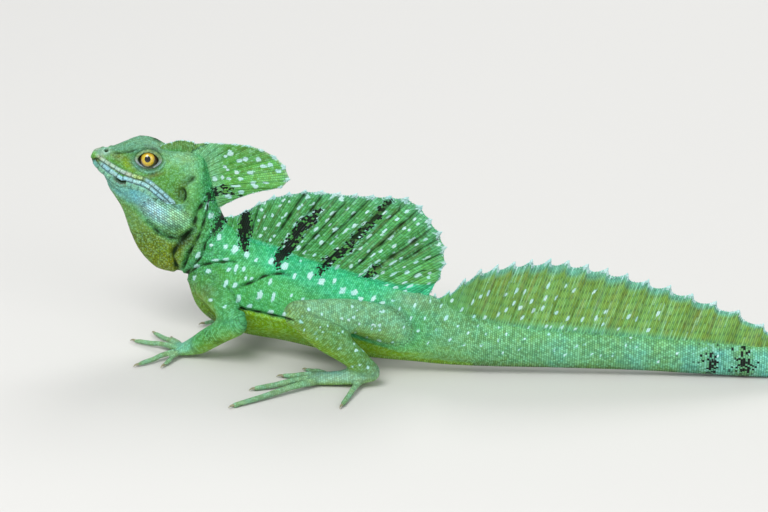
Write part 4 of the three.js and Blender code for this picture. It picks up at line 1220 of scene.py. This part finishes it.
def skin_lie(co, place, limb, depth):
    """The row and the column of the scale at each point, how far they keep to rows, and their size."""
    at = in_photo(co)
    x = co[:, 0]
    tall = back_line(x) - belly_line(x)
    angle = np.arctan2(co[:, 1] - midline(x), co[:, 2] - (belly_line(x) + tall * TRUNK_WAIST))
    size = np.interp(x, [-110, -50, 20, 100, 200, 300, 400, 500], [22, 26, 16, 11, 9, 7, 5, 3])
    steps = np.linspace(-110, 520, 631)
    pitch = np.interp(steps, [-60, 30, 120, 400], [1.05, 1.15, 1.3, 1.1])
    low = height_share(co)
    lean = 0.62 * np.hypot((low - 0.6) * tall, 3.0) * (1 - smooth(10, 60, x)) * smooth(0.1, 0.3, low)
    row = np.interp(x - lean, steps, np.cumsum(1 / pitch))
    column = angle * size / np.interp(x, [-60, 60, 200, 500], [1.15, 1.5, 1.6, 1.1])
    rows = smooth(-100, -88, x) * (0.8 + 0.2 * smooth(20, 60, x)) * (1 - smooth(0.05, 0.5, limb))
    on_limb = limb > 0.5
    row = np.where(on_limb, place[:, 0] / 1.2, row)
    column = np.where(on_limb, place[:, 1] / 1.3, column)
    rows = np.where(on_limb, smooth(0.6, 1.0, limb) * smooth(8.0, 3.0, np.abs(depth)) * 0.85, rows)
    jowl = spot(at, 169, 218, 28, 14, 0.5) * (x < HEAD_END) * (co[:, 2] > 50)
    on_jowl = jowl > 0.3
    row = np.where(on_jowl, (at - (160, 215)) @ (-0.54, 0.84) / 2.1, row)
    column = np.where(on_jowl, (at - (160, 215)) @ (0.84, 0.54) / 3.1, column)
    rows = np.where(on_jowl, smooth(0.3, 0.55, jowl), rows)
    big = 0.15 + 0.85 * np.maximum(smooth(0.18, 0.06, low) * (x > -100), on_jowl * 0.5)
    big = np.where((x < HEAD_END) & (at[:, 1] < 232) & (co[:, 2] > 60) & ~on_jowl, -0.4, big)
    big = np.where(on_limb & (co[:, 2] < 12), -0.3, big)
    return np.column_stack([row, column, rows]), big


def trunk_distance(co):
    """Roughly how far each point lies outside the trunk, neck or head."""
    x = co[:, 0]
    top, bottom, half = back_line(x), belly_line(x), trunk_half(x)
    centre, tall = (top + bottom) / 2, (top - bottom) / 2
    size = np.minimum(half, tall)
    body = (np.hypot((co[:, 1] - midline(x)) / half, (co[:, 2] - centre) / tall) - 1) * size
    body = np.where(x < -113.5, 1e3, body)
    body = np.where(co[:, 2] > 60, np.minimum(body, -1), body)
    return np.where(x < -105, np.where(co[:, 2] > 35, -1.0, body), body)


# Shader building.


class Value:
    """A socket that can be added, multiplied and so on."""

    def __init__(self, shader, socket):
        self.shader, self.socket = shader, socket

    def _do(self, operation, a, b):
        return self.shader.node("ShaderNodeMath", {0: a, 1: b}, operation=operation)

    def __add__(self, other):
        return self._do("ADD", self, other)

    __radd__ = __add__

    def __sub__(self, other):
        return self._do("SUBTRACT", self, other)

    def __rsub__(self, other):
        return self._do("SUBTRACT", other, self)

    def __mul__(self, other):
        return self._do("MULTIPLY", self, other)

    __rmul__ = __mul__

    def __truediv__(self, other):
        return self._do("DIVIDE", self, other)

    def __rtruediv__(self, other):
        return self._do("DIVIDE", other, self)


class Finish:
    """A material under construction."""

    def __init__(self, name):
        self.material = bpy.data.materials.new(name)
        self.material.use_nodes = True
        self.tree = self.material.node_tree
        self.surface = next(n for n in self.tree.nodes if n.type == "BSDF_PRINCIPLED")

    def node(self, kind, inputs=None, output=0, **settings):
        """Any node, with its inputs by name or number, as one of its outputs."""
        made = self.tree.nodes.new(kind)
        for key, value in settings.items():
            setattr(made, key, value)
        for key, value in (inputs or {}).items():
            if isinstance(value, Value):
                self.tree.links.new(value.socket, made.inputs[key])
            else:
                made.inputs[key].default_value = value
        return Value(self, made.outputs[output])

    def own(self, name, output="Vector"):
        """An attribute of the piece."""
        return self.node("ShaderNodeAttribute", output=output, attribute_name=name)

    def parts(self, vector):
        split = self.node("ShaderNodeSeparateXYZ", {0: vector})
        node = split.socket.node
        return [Value(self, node.outputs[k]) for k in range(3)]

    def mix(self, factor, a, b):
        a, b = [(*c, 1.0) if isinstance(c, tuple) else c for c in (a, b)]
        return self.node("ShaderNodeMix", {0: factor, 6: a, 7: b}, output=2, data_type="RGBA")

    def step(self, low, high, value):
        inputs = {"Value": value, "From Min": low, "From Max": high}
        return self.node("ShaderNodeMapRange", inputs, interpolation_type="SMOOTHSTEP")

    def do(self, operation, a, b=0.0):
        return self.node("ShaderNodeMath", {0: a, 1: b}, operation=operation)

    def noise(self, place, scale, detail=3.0):
        return self.node("ShaderNodeTexNoise", {"Vector": place, "Scale": scale, "Detail": detail})

    def set(self, **values):
        for key, value in values.items():
            socket = self.surface.inputs[key.replace("_", " ")]
            if isinstance(value, Value):
                self.tree.links.new(value.socket, socket)
            else:
                socket.default_value = (*value, 1.0) if isinstance(value, tuple) else value


def scaled_finish(name, pitch, contrast, roughness):
    """Scaled skin: grains, or rows of plates where the piece says so, under its spots, bars and the painted
    shade of its folds.
    """
    f = Finish(name)
    place = f.node("ShaderNodeTexCoord", output="Object")
    tint = f.own("tint", "Color")
    spots, bars, shade = f.parts(f.own("marks"))
    row, column, rows = f.parts(f.own("lie"))
    big = f.own("big", "Fac")

    grains = f.node("ShaderNodeTexVoronoi", {"Vector": place, "Scale": 1 / (pitch * MM), "Randomness": 0.7})
    cell = f.parts(Value(f, grains.socket.node.outputs["Color"]))[0]
    dome = 1 - f.step(0.15, 0.6, grains)

    ring = f.do("FLOOR", row)
    column = column + f.do("MODULO", ring, 2.0) * 0.5
    seat = f.node("ShaderNodeCombineXYZ", {0: ring, 1: f.do("FLOOR", column)})
    plate_cell = f.node("ShaderNodeTexWhiteNoise", {"Vector": seat}, noise_dimensions="2D")
    da = f.do("ABSOLUTE", f.do("FRACT", row) - 0.5)
    db = f.do("ABSOLUTE", f.do("FRACT", column) - 0.5)
    plate = (1 - f.step(0.27, 0.5, da)) * (1 - f.step(0.3, 0.5, db) * 0.75)

    height = dome + (plate - dome) * rows
    luck = cell + (plate_cell - cell) * rows
    broad = f.noise(place, 60.0)
    own_contrast = contrast * (0.9 + 0.6 * big)
    bright = 1 + own_contrast * (luck - 0.5) + (broad - 0.5) * 0.5
    bright = bright * 1.12 * (1 - (0.5 + 0.36 * big) * (1 - height))
    lean = f.mix(f.noise(place, 260.0, 2.0), (1.3, 1.0, 0.65), (0.78, 1.0, 1.3))
    colour = f.node("ShaderNodeVectorMath", {0: tint, 1: lean}, operation="MULTIPLY")
    colour = f.node("ShaderNodeVectorMath", {0: colour, "Scale": bright}, operation="SCALE")
    rough_edge = luck - 0.5
    halo = f.step(-0.5, 0.1, spots + rough_edge * 0.3)
    colour = f.mix(halo * 0.3, colour, (0.12, 0.52, 0.42))
    white = f.step(-0.05, 0.25, spots + rough_edge * 0.5)
    pale = f.mix(f.noise(place, 170.0), (0.26, 0.68, 0.68), (0.80, 0.93, 0.90))
    colour = f.mix(white * (0.7 + 0.3 * height), colour, pale)
    black = f.step(-0.04, 0.08, bars + rough_edge * 1.25)
    edge = f.step(-0.75, -0.25, bars) * f.step(0.5, 0.62, luck)
    colour = f.mix(edge * (1 - black) * 0.55, colour, (0.28, 0.66, 0.58))
    colour = f.mix(black * (0.8 + 0.2 * f.step(0.05, 0.4, height)), colour, (0.004, 0.005, 0.005))
    # Painted shade: near-black green where the marks' third part says.
    colour = f.mix(f.do("MINIMUM", shade * 0.92, 1.0), colour, (0.008, 0.028, 0.005))

    relief = height + 0.2 * f.noise(place, 900.0)
    bump = f.node("ShaderNodeBump", {"Strength": 0.7, "Distance": 0.3 * MM, "Height": relief})
    f.set(Base_Color=colour, Roughness=roughness + 0.2 * (1 - height), Normal=bump, Specular_IOR_Level=0.2)
    return f.material


# Crests.


class Crest:
    """A membrane over the midline with raised rays, a scalloped edge and small scales along it."""

    def __init__(self, name, roots, tips, ray_half, web_half, notch, pleat):
        self.name, self.roots, self.tips = name, np.array(roots, float), np.array(tips, float)
        self.count = len(self.roots) - 1
        self.ray_half, self.web_half, self.notch, self.pleat = ray_half, web_half, notch, pleat

    def at(self, c, t):
        """Place (x, z) of a point c rays along and the share t of the way up."""
        k = np.arange(self.count + 1)
        root = np.stack([np.interp(c, k, self.roots[:, i]) for i in (0, 1)], axis=-1)
        tip = np.stack([np.interp(c, k, self.tips[:, i]) for i in (0, 1)], axis=-1)
        ray = tip - root
        length = np.linalg.norm(ray, axis=-1)
        share = c - np.floor(c)
        dip = np.clip(np.sin(math.pi * share ** 0.62) ** 0.8, 0, 1) * self.notch
        reach = np.maximum(0.6, length - dip)
        return root + ray * (reach / np.maximum(length, 1e-6) * t)[..., None]

    def half(self, c, t):
        """Half the membrane's thickness, more at a ray and at the root."""
        near = bell(np.abs(c - np.round(c)), 0.13)
        thick = self.web_half + (self.ray_half - self.web_half) * near
        return thick * (1.45 - 0.95 * t) + 0.03

    def wave(self, c, t):
        """How far the membrane stands off the midline."""
        pleats = np.sin((c + 0.1) * 2 * math.pi)
        return 0.35 * t * np.sin(c * 2.1) + self.pleat * smooth(0.05, 0.5, t) * pleats

    def mesh(self, sub, rows, tooth, gap):
        bm = bmesh.new()
        layer = bm.verts.layers.float_vector.new("ray")
        c = np.linspace(0, self.count, self.count * sub + 1)
        t = np.linspace(0, 1, rows + 1)
        cc, tt = np.meshgrid(c, t)
        flat = self.at(cc, tt)
        middle = midline(flat[..., 0]) + self.wave(cc, tt)
        half = self.half(cc, tt)
        points = np.stack([flat[..., 0], middle - half, flat[..., 1]], axis=-1)
        for vert, r, k in sheet(bm, points):
            vert[layer] = (c[k], t[r], 0.0)
        made = bmesh.ops.extrude_face_region(bm, geom=bm.faces[:])["geom"]
        for vert in made:
            if isinstance(vert, bmesh.types.BMVert):
                here_c, here_t, _ = vert[layer]
                vert.co.y += 2 * float(self.half(np.array(here_c), np.array(here_t)))
        bmesh.ops.recalc_face_normals(bm, faces=bm.faces[:])
        self.add_teeth(bm, layer, tooth, gap)
        return finished(bm, self.name)

    def add_teeth(self, bm, layer, tooth, gap):
        fine = np.linspace(0, self.count, self.count * 40 + 1)
        edge = self.at(fine, np.ones_like(fine))
        along = np.concatenate([[0], np.cumsum(np.linalg.norm(np.diff(edge, axis=0), axis=1))])
        rng = np.random.default_rng(5)
        for s in np.arange(gap / 2, along[-1], gap):
            c = float(np.interp(s, along, fine))
            p = self.at(np.array(c), np.array(1.0))
            inner = self.at(np.array(c), np.array(0.93))
            way = unit(p - inner)
            size = tooth * rng.uniform(0.75, 1.2) * (1 + 0.6 * bell(c - round(c), 0.15))
            made = bmesh.ops.create_cone(
                bm, cap_ends=True, cap_tris=True, segments=6, radius1=0.5, radius2=0.12, depth=1.0
            )["verts"]
            up = Vector((way[0], 0.0, way[1]))
            side = Vector((0.0, 1.0, 0.0))
            along_edge = up.cross(side)
            turn = Matrix((along_edge, side, up)).transposed().to_4x4()
            middle = Vector((p[0], float(midline(p[0]) + self.wave(np.array(c), np.array(1.0))), p[1]))
            middle -= up * size * 0.15
            scale = Matrix.Diagonal((size * 1.05, size * 0.62, size, 1))
            bmesh.ops.transform(bm, matrix=Matrix.Translation(middle) @ turn @ scale, verts=made)
            for vert in made:
                vert[layer] = (c, 1.0, 1.0)


def dash_field(crest, at, c):
    """Pale dashes that lie along the rays where the photograph shows them."""
    field = np.full(len(c), -1.0)
    for u, v, long, wide in CREST_DASHES:
        away = at - (u, v)
        k = np.argmin((away**2).sum(axis=1))
        pair = crest.at(c[[k, k]], np.array([0.4, 0.6]))
        ends = photo(np.column_stack([pair[:, 0], midline(pair[:, 0]), pair[:, 1]]))
        way = unit(ends[1] - ends[0])
        along, across = away @ way, away @ (-way[1], way[0])
        field = np.maximum(field, 1 - (np.abs(along / long) ** 3 + np.abs(across / wide) ** 3) ** (1 / 3))
    return field


def fold_field(at):
    """How deep each point of the back's crest lies in its folds, which are given painted shade."""
    value = np.zeros(len(at))
    for wide, line in CREST_FOLDS:
        d, along, size = to_line(at, line)
        ends = smooth(-2, 4, along) * smooth(-2, 6, size - along)
        uneven = 0.85 + 0.3 * np.sin(along * 0.35 + size) * np.sin(along * 0.11 + 2)
        value = np.maximum(value, bell(d, wide * 1.15 * uneven) * ends * uneven)
    return value


def crest_piece(crest, sub, rows, tooth, gap, finish, groove, dashes, tint, replaces, rows_of, extra=()):
    """Builds a crest as a finished piece, with its folds pushed in and given painted shade, and its colours
    and marks stored.
    """
    mesh = crest.mesh(sub, rows, tooth, gap)
    ray = np.empty(len(mesh.vertices) * 3)
    mesh.attributes["ray"].data.foreach_get("vector", ray)
    c, t, is_tooth = ray.reshape(-1, 3).T
    mesh.attributes.remove(mesh.attributes["ray"])
    flat = coordinates(mesh)
    flat[:, 1] = midline(flat[:, 0])
    at = photo(flat)
    height = np.linalg.norm(crest.tips - crest.roots, axis=1)
    tall = np.interp(c, np.arange(crest.count + 1), height)
    spots = np.full(len(c), -1.0)
    folds = np.zeros(len(c))
    if dashes:
        spots = dash_field(crest, at, c)
        folds = fold_field(at)
    co = coordinates(mesh)
    co[:, 1] += 0.7 * folds * smooth(0.0, 0.3, t)
    co[:, 2] = np.minimum(co[:, 2], CAD_BOX[1][2] / MM - 0.05)
    set_coordinates(mesh, co)
    if len(extra):
        spots = np.maximum(spots, spot_field(at, extra))
    if crest.name.startswith("tail"):
        spots = np.maximum(spots, tail_spots(at))
    teeth = is_tooth > 0.5
    near = c - np.round(c)
    caps = smooth(0.93, 0.98, t) * bell(near, 0.26)
    spots = np.where(teeth, 0.05 + 0.5 * bell(near, 0.3), np.maximum(spots, caps * 0.6 - 0.2))
    bars = np.where(teeth, -1.0, bar_field(at))
    for u, v, wide, tall_mark in CREST_BLACKS:
        d = np.hypot((at[:, 0] - u) / wide, (at[:, 1] - v) / tall_mark)
        bars = np.maximum(bars, np.where(teeth, -1.0, 0.6 - 0.6 * d))
    # Painted shade: a dark line just behind each ray, where the membrane bends.
    dark = groove * bell(near - 0.17, 0.07) * smooth(0.08, 0.4, t)
    # The folds' painted shade joins it.
    dark = np.maximum(dark, 1.1 * folds) * ~teeth
    store(mesh, "marks", np.column_stack([spots, bars, dark]))
    per_ray, per_mm = rows_of
    store(mesh, "lie", np.column_stack([c * per_ray, t * tall * per_mm, np.where(teeth, 0.0, 0.9)]))
    store(mesh, "big", np.full(len(c), 0.35), "FLOAT")
    store(mesh, "tint", tint(c, t, at, np.abs(near), is_tooth), "FLOAT_COLOR")
    return piece(crest.name, mesh, finish, replaces)


def streaks(c, t, seed, count):
    """Long strokes along the rays."""
    rng = np.random.default_rng(seed)
    value = np.zeros(len(c))
    for _ in range(count * 3):
        here = rng.uniform(0, count)
        low, high = sorted(rng.uniform(0.05, 1.0, 2))
        ends = smooth(low, low + 0.12, t) * (1 - smooth(high, high + 0.12, t))
        value = np.maximum(value, bell(c - here, 0.09) * ends)
    return value


def dorsal_tint(c, t, at, near, is_tooth):
    base = painted(c, (0.07, 0.33, 0.035))
    base = tinted(base, streaks(c, t, 21, 19) * 0.9, (0.10, 0.16, 0.01))
    base = tinted(base, streaks(c, t, 22, 24) * 0.7, (0.10, 0.40, 0.07))
    base = tinted(base, bell(near - 0.33, 0.08) * 0.35, (0.11, 0.47, 0.10))
    base = dabbed(base, at, DORSAL_PATCH)
    base = tinted(base, smooth(0.80, 0.97, t) * 0.5, (0.13, 0.46, 0.20))
    u, v = at.T
    foot = np.interp(u, [236, 251, 280, 298, 319, 347, 372, 397], [234, 238, 247, 256, 262, 270, 278, 284])
    base = tinted(base, smooth(-2.0, 1.5, v - foot), EMERALD)
    return tinted(base, is_tooth, (0.34, 0.66, 0.56))


def brow_edge(at, base):
    """The dark saw-toothed line in which the brow's crest runs out over the front of the head's."""
    u, v = at.T
    below = v - np.interp(u, [186, 191, 200, 212], [156, 151.5, 147, 141.3])
    here = smooth(183, 188, u) * (1 - smooth(211, 215, u))
    base = tinted(base, here * smooth(-0.6, 0.8, below), (0.20, 0.52, 0.20))
    base = tinted(base, here * (1 - smooth(-0.8, 0.4, below)), (0.15, 0.32, 0.03))
    return tinted(base, here * bell(below + 0.6 * np.sin(u * 1.6), 0.7), (0.02, 0.06, 0.01))


def head_crest_tint(c, t, at, near, is_tooth):
    base = painted(c, (0.125, 0.45, 0.03))
    base = tinted(base, streaks(c, t, 31, 14) * 0.75, (0.13, 0.27, 0.015))
    base = dabbed(base, at, HEAD_CREST_PATCHES)
    base = tinted(base, (1 - smooth(216, 228, at[:, 0])) * 0.9, (0.19, 0.52, 0.20))
    base = brow_edge(at, base)
    base = tinted(base, smooth(0.95, 0.99, t) * 0.6, (0.36, 0.52, 0.24))
    return tinted(base, is_tooth, (0.58, 0.72, 0.46))


def brow_crest_tint(c, t, at, near, is_tooth):
    base = painted(c, (0.16, 0.33, 0.03))
    base = tinted(base, 1 - smooth(0.2, 0.6, t), (0.13, 0.42, 0.08))
    base = brow_edge(at, base)
    return tinted(base, is_tooth, (0.62, 0.72, 0.50))


def tail_crest_tint(c, t, at, near, is_tooth):
    u, v = at.T
    base = painted(c, (0.215, 0.40, 0.035))
    base = tinted(base, streaks(c, t, 41, 26) * 0.6, (0.23, 0.25, 0.02))
    base = tinted(base, bell(near - 0.3, 0.1) * 0.3, (0.15, 0.44, 0.08))
    foot = np.interp(u, [445, 480, 520, 560, 600, 650, 700, 768], [314, 318, 323, 325, 328, 334, 340, 350])
    base = tinted(base, smooth(-5, 4, v - foot), MINT)
    base = tinted(base, (1 - smooth(450, 490, u)) * 0.7, (0.11, 0.42, 0.10))
    base = tinted(base, smooth(2.4, 0.8, (1 - t) * 14) * 0.85, (0.15, 0.47, 0.33))
    return tinted(base, is_tooth, (0.26, 0.56, 0.46))


def even_rays(roots, edge, count, root_share=None):
    """The roots and tips of evenly spaced rays between a line of roots and an edge."""
    t = np.linspace(0, 1, count + 1)
    return curve(roots)(root_share(t) if root_share else t), curve(edge)(t)


# The rays of the back's crest fan out backwards from their roots.
dorsal_root_share = profile([
    (0, 0), (0.158, 0.13), (0.321, 0.225), (0.454, 0.345), (0.596, 0.495), (0.682, 0.59), (0.757, 0.655),
    (0.855, 0.74), (1, 1),
])

tail_crest_height = profile([
    (17, 42.5), (24, 43), (33, 50.5), (41, 56.5), (53, 60), (64, 62.5), (85, 63.2), (104, 59.5), (118, 56.5),
    (131, 52.6), (146, 48.4), (160, 43.4), (175, 38.6), (187, 32.2), (200, 25.5), (230, 20.5), (270, 15.6),
])
TAIL_RAY_LEAN = 0.34


def tail_rays():
    """The roots and tips of the tail crest's rays, which stand further apart towards the tip."""
    roots, tips = [], []
    x, pitch = 19.0, 7.6
    while x < 262:
        z = float(tail_crest_height(x))
        root_x = x - TAIL_RAY_LEAN * (z - float(back_line(x)))
        roots.append((root_x, float(back_line(root_x)) - 4.5))
        tips.append((x, z))
        x += pitch
        pitch = min(13, pitch * 1.035)
    return roots, tips


def make_crests():
    fine = scaled_finish("crest_scales", 0.8, 0.5, 0.46)
    roots, edge = even_rays(
        [(-95, 63), (-84, 58), (-66, 52), (-40, 48.5), (-13, 42.5), (5, 38.5), (14.5, 37)],
        [(-97.5, 71.4), (-89, 71.6), (-79.4, 77.4), (-70.9, 84), (-57.3, 90), (-43.8, 93.2), (-17.8, 94.6),
         (1.3, 95.6), (9.2, 91.8), (15.2, 84), (20.6, 76.8), (23.9, 67.3), (23, 54.5), (16.6, 43.6)], 19,
        dorsal_root_share)
    dorsal = Crest("dorsal_crest_skin", roots, edge, 0.85, 0.5, 1.6, 0.5)
    crest_piece(dorsal, 15, 76, 1.2, 1.6, fine, 0.35, True, dorsal_tint, ["dorsal_crest"], (5.0, 0.8))
    roots, edge = even_rays(
        [(-111, 103), (-106, 99), (-104, 92), (-103, 84), (-101.5, 76), (-100.5, 71.5)],
        [(-109.6, 110), (-102, 110.9), (-93.4, 111.6), (-80.4, 112), (-70, 110), (-63, 105.6), (-58.8, 99.6),
         (-59.6, 93.6), (-66.8, 90), (-77.1, 86.4), (-87, 81), (-95.5, 75.4)], 14)
    head = Crest("head_crest_skin", roots, edge, 0.85, 0.5, 0.6, 0.22)
    crest_piece(head, 12, 54, 0.75, 1.25, fine, 0.2, False, head_crest_tint, ["head_crest"], (5.0, 0.8),
                HEAD_CREST_SPOTS)
    roots, edge = even_rays(
        [(-126, 104.8), (-119.5, 103.4), (-111, 103.4)],
        [(-127, 107.6), (-122, 109.9), (-116.8, 111.4), (-109.2, 111.1)], 6)
    brow = Crest("brow_crest_skin", roots, edge, 0.85, 0.5, 0.3, 0.1)
    crest_piece(brow, 12, 14, 0.75, 1.2, fine, 0.2, False, brow_crest_tint, ["brow_crest"], (3.0, 0.9))
    roots, tips = tail_rays()
    tail = Crest("tail_crest_skin", roots, tips, 0.8, 0.5, 3.6, 0.3)
    crest_piece(tail, 16, 44, 1.3, 1.5, fine, 0.35, False, tail_crest_tint, ["tail_crest"], (13.0, 0.10))


# Eyes and claws.


def eye_finish():
    f = Finish("basilisk_eye")
    x, up, _ = f.parts(f.own("face"))
    r = f.do("SQRT", x * x * 1.2 + up * up)
    direction = f.node("ShaderNodeCombineXYZ", {0: x / (r + 0.05), 1: up / (r + 0.05), 2: r * 0.12})
    fibres = f.noise(direction, 9.0, 4.0)
    gold = f.mix(fibres, (0.40, 0.24, 0.003), (0.80, 0.62, 0.015))
    gold = f.mix(f.step(2.6, 3.7, r), gold, (0.42, 0.28, 0.006))
    gold = f.mix(f.step(2.0, 1.7, r) * 0.9, gold, (0.85, 0.75, 0.12))
    # Painted shadow of the upper lid over the top of the iris.
    gold = f.mix(f.step(1.6, 3.6, up) * 0.75, gold, (0.20, 0.09, 0.002))
    colour = f.mix(f.step(3.6, 3.9, r), gold, (0.05, 0.025, 0.01))
    colour = f.mix(1 - f.step(1.7, 1.85, r), colour, (0.002, 0.002, 0.002))
    f.set(Base_Color=colour, Roughness=0.12, Coat_Weight=1.0, Coat_Roughness=0.03)
    return f.material


def make_eyes():
    finish = eye_finish()
    for side, name in ((LEFT, "left"), (RIGHT, "right")):
        bm = bmesh.new()
        bmesh.ops.create_uvsphere(bm, u_segments=48, v_segments=32, radius=1.0)
        mesh = finished(bm, f"{name}_eyeball")
        co = coordinates(mesh)
        radius = EYE["radius"] - 0.05
        bulge = 1 + 0.05 * smooth(0.72, 0.95, co[:, 2])
        local = co * radius * bulge[:, None]
        forward = Matrix.Rotation(math.radians(3) * side, 3, "Z")
        outward = Matrix.Rotation(math.radians(-73) * side, 3, "X")
        turn = np.array(forward @ outward)
        store(mesh, "face", local * (1, -side, 1))
        centre = np.array([EYE["x"], HEAD_Y + side * EYE["out"], EYE["z"]])
        set_coordinates(mesh, local @ turn.T + centre)
        piece(f"{name}_eyeball", mesh, finish, [f"{name}_eye"])


def make_claws():
    f = Finish("claw_horn")
    place = f.node("ShaderNodeTexCoord", output="Object")
    grain = f.noise(place, 700.0)
    colour = f.mix(grain, (0.16, 0.15, 0.08), (0.36, 0.36, 0.22))
    bump = f.node("ShaderNodeBump", {"Strength": 0.3, "Distance": 0.1 * MM, "Height": grain})
    f.set(Base_Color=colour, Roughness=0.3 + 0.2 * grain, Normal=bump)
    bm = bmesh.new()
    for bone, on_digit in zip(BONES, DIGITS):
        if not on_digit:
            continue
        tip, before = bone.path[-1], bone.path[-2]
        way = unit((tip - before) * (1, 1, 0))
        stations = [
            (*(tip - way * 0.9), 0.75),
            (*(tip + way * 0.7 + (0, 0, 0.3)), 0.66),
            (*(tip + way * 1.8 + (0, 0, 0.1)), 0.42),
            (*(tip + way * 2.7 + (0, 0, -0.6)), 0.12),
        ]
        loft(bm, tube_rings(stations, sides=10, per_span=4, flat=(0, 0, 1)))
    mesh = finished(bm, "claws")
    co = coordinates(mesh)
    co[:, 2] = np.maximum(co[:, 2], 0.02)
    set_coordinates(mesh, co)
    piece("claws", mesh, f.material)


# The scene.


def make_stage():
    bm = bmesh.new()
    bmesh.ops.create_grid(bm, x_segments=1, y_segments=1, size=6.0)
    mesh = bpy.data.meshes.new("floor")
    bm.to_mesh(mesh)
    bm.free()
    floor = bpy.data.objects.new("floor", mesh)
    bpy.context.scene.collection.objects.link(floor)
    f = Finish("pale_floor")
    f.set(Base_Color=(0.62, 0.61, 0.59), Roughness=0.9)
    mesh.materials.append(f.material)


def in_model(point):
    """A point given in mm before the shift, in the model's metres."""
    return Vector(((np.array(point) + SHIFT) * MM).tolist())


def make_camera():
    camera = bpy.data.objects.new("camera", bpy.data.cameras.new("camera"))
    camera.data.lens = LENS
    camera.data.sensor_width = SENSOR
    camera.data.clip_end = 50.0
    axes = Matrix((ACROSS, UP, -FORWARD)).transposed().to_4x4()
    camera.matrix_world = Matrix.Translation(in_model(EYEPOINT)) @ axes
    bpy.context.scene.collection.objects.link(camera)
    bpy.context.scene.camera = camera


def make_light():
    world = bpy.data.worlds.new("studio")
    world.use_nodes = True
    world.node_tree.nodes["Background"].inputs["Color"].default_value = (0.95, 0.98, 1.0, 1.0)
    world.node_tree.nodes["Background"].inputs["Strength"].default_value = 0.55
    bpy.context.scene.world = world
    for name, place, size, power in (
        ("key", (-0.9, -1.3, 1.9), 1.2, 42),
        ("fill", (1.3, -1.5, 1.1), 1.6, 14),
        ("rim", (0.4, 1.6, 1.6), 1.0, 20),
    ):
        lamp = bpy.data.lights.new(name, "AREA")
        lamp.size = size
        lamp.energy = power
        obj = bpy.data.objects.new(name, lamp)
        obj.location = place
        obj.rotation_euler = (Vector((-0.1, 0, 0.04)) - Vector(place)).to_track_quat("-Z", "Y").to_euler()
        bpy.context.scene.collection.objects.link(obj)
    bpy.context.scene.view_settings.view_transform = "Standard"


FLESH = [
    "torso", "tail_1", "tail_2", "tail_3", "tail_4", "tail_5", "head", "neck", "throat",
    *[f"{side}_{part}" for side in ("left", "right") for part in
      ("upper_arm", "forearm", "hand", "thigh", "shank", "foot")],
]


def make_body():
    """Makes the one skin of trunk, head, tail and limbs."""
    mesh, shade = make_skin()
    co, normals = coordinates(mesh), vertex_normals(mesh)
    depth, which, place, _ = nearest_bone(co)
    trunk_depth = trunk_distance(co)
    tint = throat_tint(co, head_tint(co, body_tint(co)))
    tint, limb = limb_tint(co, normals, tint, depth, which, trunk_depth)
    tint = relax(tint, edge_pairs(mesh), smooth(0.15, 0.7, limb), 10)
    lie, big = skin_lie(co, place, limb, depth)
    store(mesh, "tint", tint, "FLOAT_COLOR")
    store(mesh, "marks", skin_marks(co, shade, limb))
    store(mesh, "lie", lie)
    store(mesh, "big", big, "FLOAT")
    finish = scaled_finish("body_scales", 0.95, 0.6, 0.44)
    piece("basilisk_skin", mesh, finish, FLESH)


make_stage()
make_camera()
make_light()
make_body()
make_crests()
make_eyes()
make_claws()
